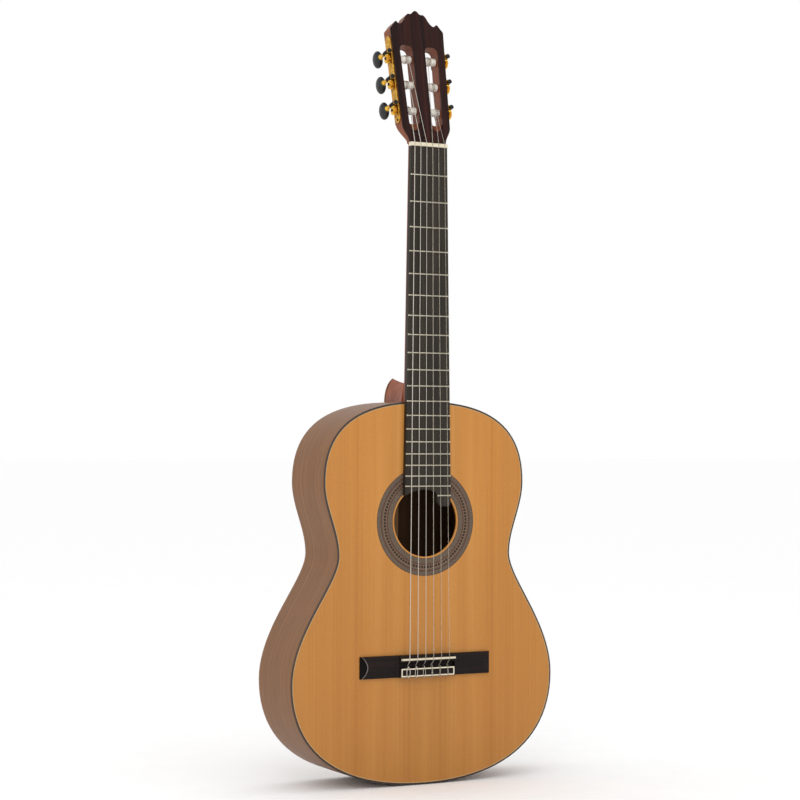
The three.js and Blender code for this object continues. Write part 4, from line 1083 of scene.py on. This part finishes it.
def make_bridge():
    level = FRONT + BLOCK
    channel = FRONT + 2.6
    profile = [
        (BRIDGE_LOW, ON_TOP), (BRIDGE_LOW, level - 0.6), (BRIDGE_LOW + 0.2, level - 0.15),
        (BRIDGE_LOW + 0.7, level), (TIE_TOP - 0.7, level), (TIE_TOP - 0.2, level - 0.15),
        (TIE_TOP, level - 0.6), (TIE_TOP, channel),
        (SADDLE - 6, channel), (SADDLE - 4.6, level - 1), (SADDLE - 3.6, level), (BRIDGE_HIGH - 1.6, level),
        (BRIDGE_HIGH - 0.5, level - 0.5), (BRIDGE_HIGH, level - 1.6), (BRIDGE_HIGH, ON_TOP),
    ]
    seat = box(
        (-SADDLE_HALF, SADDLE_HALF), (SADDLE - SEAT_HALF, SADDLE + SEAT_HALF), (FRONT + 3, FRONT + 20), 0.02
    )
    holes = [
        tube([(x, BRIDGE_LOW - 1, TIE_HOLE), (x, TIE_TOP + 1, TIE_HOLE)], 1.0, 14)
        for x in string_places(SADDLE_PITCH)
    ]
    block = cut(bar_along_x(profile, BLOCK_HALF), merged(seat, *holes))
    whole = merged(block, bridge_wing(1), bridge_wing(-1))
    # the bass wing's ridge takes a painted highlight, and its facet end grain with painted shade
    finished("bridge", whole, BODY, "bridge_rosewood", sharp=28, others=["bridge_ridge_painted_highlight", "bridge_end_grain_and_painted_shade"])

    top = STRING_AT_SADDLE - STRING_RADIUS[-1] + 0.05
    half = SEAT_HALF - 0.05
    rise = [(SADDLE + half * cos(a), top - half * (1 - sin(a))) for a in half_turn(10)]
    foot = FRONT + 3.1
    saddle = bar_along_x([*rise, (SADDLE - half, foot), (SADDLE + half, foot)], SADDLE_HALF - 0.1)
    ends = [e for e in saddle.edges if abs(e.verts[0].co.x - e.verts[1].co.x) < 0.01]
    bmesh.ops.bevel(saddle, geom=ends, offset=0.3, segments=2, affect="EDGES", clamp_overlap=True)
    finished("saddle", saddle, BODY, "bone", sharp=40)

    long, low, high, width = 38, 138, 148.6, 1.6
    corners = ((-long, low), (long, low), (long, high), (-long, high))
    inner = [(x - copysign(width, x), y + (width if y == low else -width)) for x, y in corners]
    sunk, proud = level - 0.6, level + 0.06
    ring = ((corners, sunk), (corners, proud), (inner, proud), (inner, sunk))
    rows = [[(x, y, z) for x, y in outline] for outline, z in ring]
    finished("tie_block_inlay", skin(rows, True, True), BODY, "bone")


# ---- strings

LANDING = {50: 19, 85: 17, 120: 14.5}      # x where each string meets its roller, by station
TIE_SPREAD = (0.45, 0.5, 0.6, 1.5, 1.6, 2.4)   # half the width of each string's loop
COIL_STEPS = 24                                # points in one turn round a roller


def string_route(number):
    """From the hole in the tie block over the saddle and the nut to the roller."""
    saddle_x, nut_x = string_x(number, SADDLE_PITCH), string_x(number, NUT_PITCH)
    radius = STRING_RADIUS[number - 1]
    station = station_of(number)
    over = spread([(saddle_x, height, forward) for height, forward in (
        (TIE_TOP - 3, TIE_HOLE), (TIE_TOP + 0.2, TIE_HOLE + 0.1), (TIE_TOP + 2.4, TIE_HOLE + 1.4),
        (SADDLE - 3.2, STRING_AT_SADDLE - 1.5), (SADDLE - 0.6, STRING_AT_SADDLE - 0.05),
    )], 5)
    at_nut = [
        (nut_x, NUT - 0.6, STRING_AT_NUT), (nut_x, NUT + 2.4, STRING_AT_NUT),
        (nut_x, NUT_HIGH.y - 0.6, STRING_AT_NUT - 0.25),
    ]
    landing = Vector((side_of(number) * LANDING[station], station, TUNER_DEPTH + ROLLER_RADIUS + radius))
    return [*over, (saddle_x, SADDLE + 1.2, STRING_AT_SADDLE), *at_nut, BODY.inverted() @ HEAD @ landing]


def tie_route(number):
    """Out of the tie block towards the tail, up over it, round the string behind the saddle and back."""
    x = string_x(number, SADDLE_PITCH)
    wide = TIE_SPREAD[number - 1]
    radius = STRING_RADIUS[number - 1]
    top = FRONT + BLOCK + radius + 0.1
    low, high = BRIDGE_LOW, TIE_TOP
    middle = (low + high) / 2
    return spread([
        (x, low + 3, TIE_HOLE), (x, low - 0.3, TIE_HOLE), (x - 0.1 * wide, low - 0.9 - radius, FRONT + 6.4),
        (x - 0.3 * wide, low + 0.3, top - 0.1), (x - 0.85 * wide, low + 3, top), (x - wide, middle, top),
        (x - 0.85 * wide, high - 2.6, top), (x - 0.45 * wide, high - 0.1, top), (x + 0.2, high + 2, top - 1),
        (x + 0.55 * wide, high - 0.1, top), (x + 0.9 * wide, high - 2.6, top), (x + wide, middle, top),
        (x + 0.85 * wide, low + 3, top), (x + 0.4 * wide, low + 0.4, top),
        (x + 0.3 * wide, low - 0.4 - radius, top - 1.2),
    ], 6)


def coil(number, start, pitch, turns):
    """Turns of string round the roller from its front, each one pitch further out than the last."""
    station = station_of(number)
    radius = ROLLER_RADIUS + STRING_RADIUS[number - 1]
    points = []
    for i in range(int(COIL_STEPS * turns) + 1):
        angle = 2 * pi * i / COIL_STEPS
        across, forward = station + radius * sin(angle), TUNER_DEPTH + radius * cos(angle)
        points.append((start + pitch * i / COIL_STEPS, across, forward))
    return points


def make_strings():
    for number in STRINGS:
        radius = STRING_RADIUS[number - 1]
        place = EDGE[side_of(number)]
        finish = "nylon_string" if number <= 3 else "metal_wire"
        run = tube(string_route(number), radius, 12)
        piece(f"string_{number}_run", run, BODY, finish, nodes=[f"string_{number}"], sharp=60)
        piece(f"string_{number}_tie", tube(tie_route(number), radius * 0.95, 10), BODY, finish, sharp=60)
        station = station_of(number)
        start = LANDING[station] - EDGE_FOOT - station * EDGE_SLOPE
        bend = tube(coil(number, start, 0, 0.6), radius, 8)
        piece(f"string_{number}_bend", bend, place, finish, sharp=60)
        start += 2 * radius + 0.15
        pitch = 2 * radius + 0.05
        turns = min(3.5, max(ROLLER_OUTER - 1.2 - start, 1.2) / pitch)
        wound = tube(coil(number, start, pitch, turns), radius, 8)
        piece(f"string_{number}_winding", wound, place, finish, body=f"winder_{number}", sharp=60)


# ---- tuning machines

LUG_THICKNESS = 1.4
PLATE_SCREW = (1.7, 0.9)         # radius and height of the heads
GEAR_SCREW = (2.1, 1.2)


def plate_half(u):
    """Half the width of the side plate along it, waved between round ends."""
    wave = 0.35 * cos(2 * pi * (u - STATIONS[0]) * 3 / (STATIONS[1] - STATIONS[0]))
    body = PLATE_HALF - 0.4 + wave
    end = 9
    near = min(u - PLATE_LOW, PLATE_HIGH - u)
    if near >= end:
        return body
    return body * sqrt(max(0.0, 1 - (1 - near / end) ** 2))


def plate_outline(inset=0.0):
    length = PLATE_HIGH - PLATE_LOW - 2 * inset
    ends = [PLATE_LOW + inset + length * (1 - cos(a)) / 2 for a in half_turn(120)]
    upper = [(u, TUNER_DEPTH + max(plate_half(u) - inset, 0.0)) for u in ends]
    lower = [(u, TUNER_DEPTH - max(plate_half(u) - inset, 0.0)) for u in ends[1:-1]]
    return upper + lower[::-1]


def scroll(u, n, turn, flip):
    """A tapering spiral of raised metal."""
    points = []
    radii = []
    for i in range(25):
        t = i / 24
        angle = turn + flip * t * 2.1 * pi
        size = 0.35 + 2.3 * t
        points.append((u + size * cos(angle), n + size * sin(angle), PLATE_FACE))
        radii.append(0.22 + 0.28 * sin(pi * min(t * 1.15, 1.0)))
    return tube(points, radii, 8)


def plate_relief():
    """The raised rim and the scrolls between the stations."""
    parts = [tube([(u, n, PLATE_FACE) for u, n in plate_outline(0.9)], 0.32, 8, closed=True)]
    for station in (STATIONS[0] - 35, *STATIONS):
        middle = station + MESH_DISTANCE + 13.5
        for row in (1, -1):
            for step, flip in ((-3.1, 1), (3.1, -1)):
                if PLATE_LOW + 5 < middle + step < PLATE_HIGH - 5:
                    parts.append(scroll(middle + step, TUNER_DEPTH + 2.6 * row, row * pi / 2, flip * row))
    return merged(*parts)


def lug():
    """A bearing ear with a round end, drawn round the worm's axis."""
    radius, foot = 2.7, 3.2
    low, high = PLATE_FACE - 0.4, PLATE_FACE + 0.8
    angles = [pi * (i / 16 - 0.5) for i in range(17)]
    round_end = [(TUNER_OUT + radius * cos(a), radius * sin(a)) for a in angles]
    return [(low, -foot), (high, -radius), *round_end, (high, radius), (low, foot)]


def screw_head(radius, height):
    """A domed screw head with a slot across it."""
    dome = [(radius * sin(a), height * cos(a)) for a in half_turn(20)[1:11]]
    wide, half = radius + 1, 0.22 * radius
    slot = box((-wide, wide), (-half, half), (height * 0.45, height + 1), 0.01)
    return cut(lathe([(0, height), *dome, (radius, -0.4), (0, -0.4)], 32), slot)


def make_plate(name, side):
    relief = moved(plate_relief(), TURN_TO_W)
    for face in relief.faces:
        face.material_index = 1
    parts = [moved(prism(plate_outline(), GLUE, PLATE_FACE, 0.25), TURN_TO_W), relief]
    for station in STATIONS:
        for low in (TUNER_DEPTH + PLATE_HALF - LUG_THICKNESS, TUNER_DEPTH - PLATE_HALF):
            ear = prism(lug(), low, low + LUG_THICKNESS, 0.2, both=True)
            parts.append(moved(ear, shift(0, station + MESH_DISTANCE, 0)))
    finished(f"tuner_plate_{name}", merged(*parts), EDGE[side], "gold_plate", others=["gold_smooth"])
    places = [station + 12.8 for station in STATIONS] + [PLATE_LOW + 4.5]
    screws = [moved(screw_head(*PLATE_SCREW), shift(PLATE_FACE, u, TUNER_DEPTH) @ TURN_TO_W) for u in places]
    piece(f"plate_screws_{name}", merged(*screws), EDGE[side], "black_steel")


def worm():
    """A screw thread of the gear's tooth form, its crest towards -u at mid length."""
    length, steps, core, depth, flank = 9, 54, 1.6, 1.55, 0.36
    rows = []
    for k in range(steps + 1):
        z = -length / 2 + length * k / steps
        row = []
        for angle in full_turn(48):
            phase = (z - LEAD * (angle + pi / 2) / (2 * pi)) / LEAD
            offset = abs(phase - round(phase)) * LEAD
            rise = min(max((TOOTH_HALF + 0.2 - offset) / flank + 0.5, 0), 1)
            radius = core + depth * rise * rise * (3 - 2 * rise)
            row.append((radius * cos(angle), radius * sin(angle), z))
        rows.append(row)
    return solid(rows)


def make_worm(number, side, axis):
    place = EDGE[side] @ shift(TUNER_OUT, axis, TUNER_DEPTH)
    top = PLATE_HALF
    low = BUTTON_FRONT - TUNER_DEPTH
    shaft = rod(1.3, low - 3, top + 0.5)
    ball = [(3.0 * sin(a), top + 1.5 + 1.8 * cos(a)) for a in half_turn(20)[1:14]]
    end = lathe([(0, top + 3.3), *ball, (2.2, top + 0.25), (0, top + 0.25)], 40)
    knob = f"knob_{number}"
    piece(f"worm_{number}", merged(worm(), shaft, end), place, "black_steel", body=knob,
          nodes=[f"worm_shaft_{number}"], sharp=50)
    collar = spread([(2.4, -top - 0.3), (2.8, -top - 0.9), (2.1, -top - 1.8), (1.9, low + 4.6),
                     (2.2, low + 3), (3.3, low + 1.6), (3.5, low + 0.8), (3, low + 0.1)], 4)
    collar = lathe([(0, -top - 0.3), *collar, (0, low + 0.1)], 40)
    piece(f"collar_{number}", collar, place, "gold_smooth", body=knob, sharp=50)


def make_button(number, side, axis):
    profile = spread([(3.3, 0), (4, 0.6), (5.6, 1.5), (8.8, 2.8), (10.9, 5.2), (11.5, 8), (11, 11),
                      (9.2, 13.6), (5.6, 15.4), (2, 15.95)], 4)
    points = [(0, 0), *[(p.x, -p.y) for p in profile], (0, -16)]
    flat = Matrix.Diagonal((BUTTON_THICKNESS / BUTTON_WIDTH, 1, 1, 1))
    place = EDGE[side] @ shift(TUNER_OUT, axis, BUTTON_FRONT) @ flat
    finished(f"button_{number}", lathe(points, 64), place, "black_button", body=f"knob_{number}", sharp=60)


def make_gear(number, side, station):
    """A wheel whose slanted teeth are in mesh with the worm."""
    flank = tan(radians(20))
    tip_angle = (TOOTH_HALF - (GEAR_TIP - GEAR_PITCH) * flank) / GEAR_TIP
    root_angle = (TOOTH_HALF + (GEAR_PITCH - GEAR_ROOT) * flank) / GEAR_ROOT
    twist = LEAD / (2 * pi * WORM_PITCH) / GEAR_PITCH
    half, ease = GEAR_WIDTH / 2, 0.15
    rows = []
    for z, tip in ((-half, GEAR_TIP - ease), (ease - half, GEAR_TIP), (0, GEAR_TIP),
                   (half - ease, GEAR_TIP), (half, GEAR_TIP - ease)):
        tooth = ((GEAR_ROOT, -root_angle), (tip, -tip_angle), (tip, tip_angle), (GEAR_ROOT, root_angle))
        row = []
        for number_of_tooth in range(GEAR_TEETH):
            middle = 2 * pi * (number_of_tooth + 0.5) / GEAR_TEETH + twist * z
            row += [(r * cos(middle + a), r * sin(middle + a), z) for r, a in tooth]
        rows.append(row)
    hub = [(0, 1.7), (3.2, 1.7), (3.5, 2.0), (3.5, 2.2), (3.2, 2.5), (0, 2.5)]
    winder = f"winder_{number}"
    place = EDGE[side] @ shift(TUNER_OUT, station, TUNER_DEPTH) @ TURN_TO_W
    finished(f"gear_{number}", merged(solid(rows), lathe(hub, 40)), place, "gold_smooth", body=winder)
    screw = moved(screw_head(*GEAR_SCREW), shift(0, 0, hub[-1][1]))
    piece(f"gear_screw_{number}", screw, place, "black_steel", body=winder)


def make_roller(number, side, station):
    inner = ROLLER_OUTER - ROLLER_LENGTHS[station]
    r = ROLLER_RADIUS
    barrel = [(0, inner), (r - 0.5, inner), (r - 0.12, inner + 0.15), (r, inner + 0.6),
              (r, ROLLER_OUTER - 0.6), (r - 0.12, ROLLER_OUTER - 0.15), (r - 0.5, ROLLER_OUTER),
              (0, ROLLER_OUTER)]
    place = EDGE[side] @ shift(0, station, TUNER_DEPTH) @ TURN_TO_W
    finished(f"roller_{number}", lathe(barrel), place, "white_roller", body=f"winder_{number}", sharp=50)
    shaft = rod(1.95, ROLLER_SHAFT_END, TUNER_OUT - 1.8)
    piece(f"roller_shaft_{number}", shaft, place, "gold_smooth", body=f"winder_{number}")


def make_machines():
    make_plate("treble", 1)
    make_plate("bass", -1)
    for number in STRINGS:
        side, station = side_of(number), station_of(number)
        make_worm(number, side, station + MESH_DISTANCE)
        make_button(number, side, station + MESH_DISTANCE)
        make_gear(number, side, station)
        make_roller(number, side, station)


# ---- studio

CAMERA_PLACE = (-1.2505, -2.3893, 0.4355)
CAMERA_LOOK = (0.4608, 0.8873, 0.0200)
CAMERA_ROLL = 0.0039
CAMERA_SHIFT = -1.2 / 800
CAMERA_LENS = 93.5
LIGHTS_AIM = Vector((0, 0, 0.5))
# Name, place, size in metres and power in watts.
LIGHTS = (
    ("key", (-1.6, -2.4, 2.4), 1.8, 14),
    ("fill", (0.3, -2.7, 0.3), 1.2, 4),
    ("rim", (-2.6, 0.8, 1.4), 1.6, 4),
)
FLOOR_HALF = 40
FLOOR_LEVEL = -0.0005


def aim(obj, place, look, roll=0.0):
    """Puts a camera or a light in its place and turns it to look along a direction."""
    obj.location = place
    obj.rotation_mode = "QUATERNION"
    obj.rotation_quaternion = Vector(look).to_track_quat("-Z", "Y") @ Quaternion((0, 0, 1), roll)


def make_camera():
    camera = add_object("camera", bpy.data.cameras.new("camera"))
    aim(camera, CAMERA_PLACE, CAMERA_LOOK, CAMERA_ROLL)
    camera.data.shift_x = CAMERA_SHIFT
    camera.data.lens = CAMERA_LENS
    bpy.context.scene.camera = camera


def make_studio():
    for name, place, size, power in LIGHTS:
        light = bpy.data.lights.new(name, "AREA")
        light.shape = "DISK"
        light.size = size
        light.energy = power
        aim(add_object(name, light), place, LIGHTS_AIM - Vector(place))
    world = bpy.data.worlds.new("studio")
    bpy.context.scene.world = world
    world.use_nodes = True
    background = world.node_tree.nodes["Background"].inputs
    background["Color"].default_value = (1, 1, 1, 1)
    background["Strength"].default_value = 1.0
    bpy.context.scene.view_settings.view_transform = "Standard"
    finish = Finish("floor_paper")
    grain = finish.noise((40, 40, 40), 2.0)
    colour = finish.ramp(finish.levels(grain, 0.3, 0.7), (252, 252, 252), (254, 254, 254))
    corners = [(x * FLOOR_HALF, y * FLOOR_HALF, FLOOR_LEVEL) for x, y in ((-1, -1), (1, -1), (1, 1), (-1, 1))]
    mesh = bpy.data.meshes.new("floor")
    mesh.from_pydata(corners, [], [(0, 1, 2, 3)])
    mesh.materials.append(finish.done(colour, finish.levels(grain, 0.3, 0.7, 0.8, 0.9)))
    floor = add_object("floor", mesh)


make_camera()
make_soundboard()
make_rosette()
make_edges()
make_sides()
make_graft()
make_back()
dress_inside()
make_neck_and_head()
make_fingerboard()
make_frets()
make_nut()
make_bridge()
make_strings()
make_machines()
make_studio()
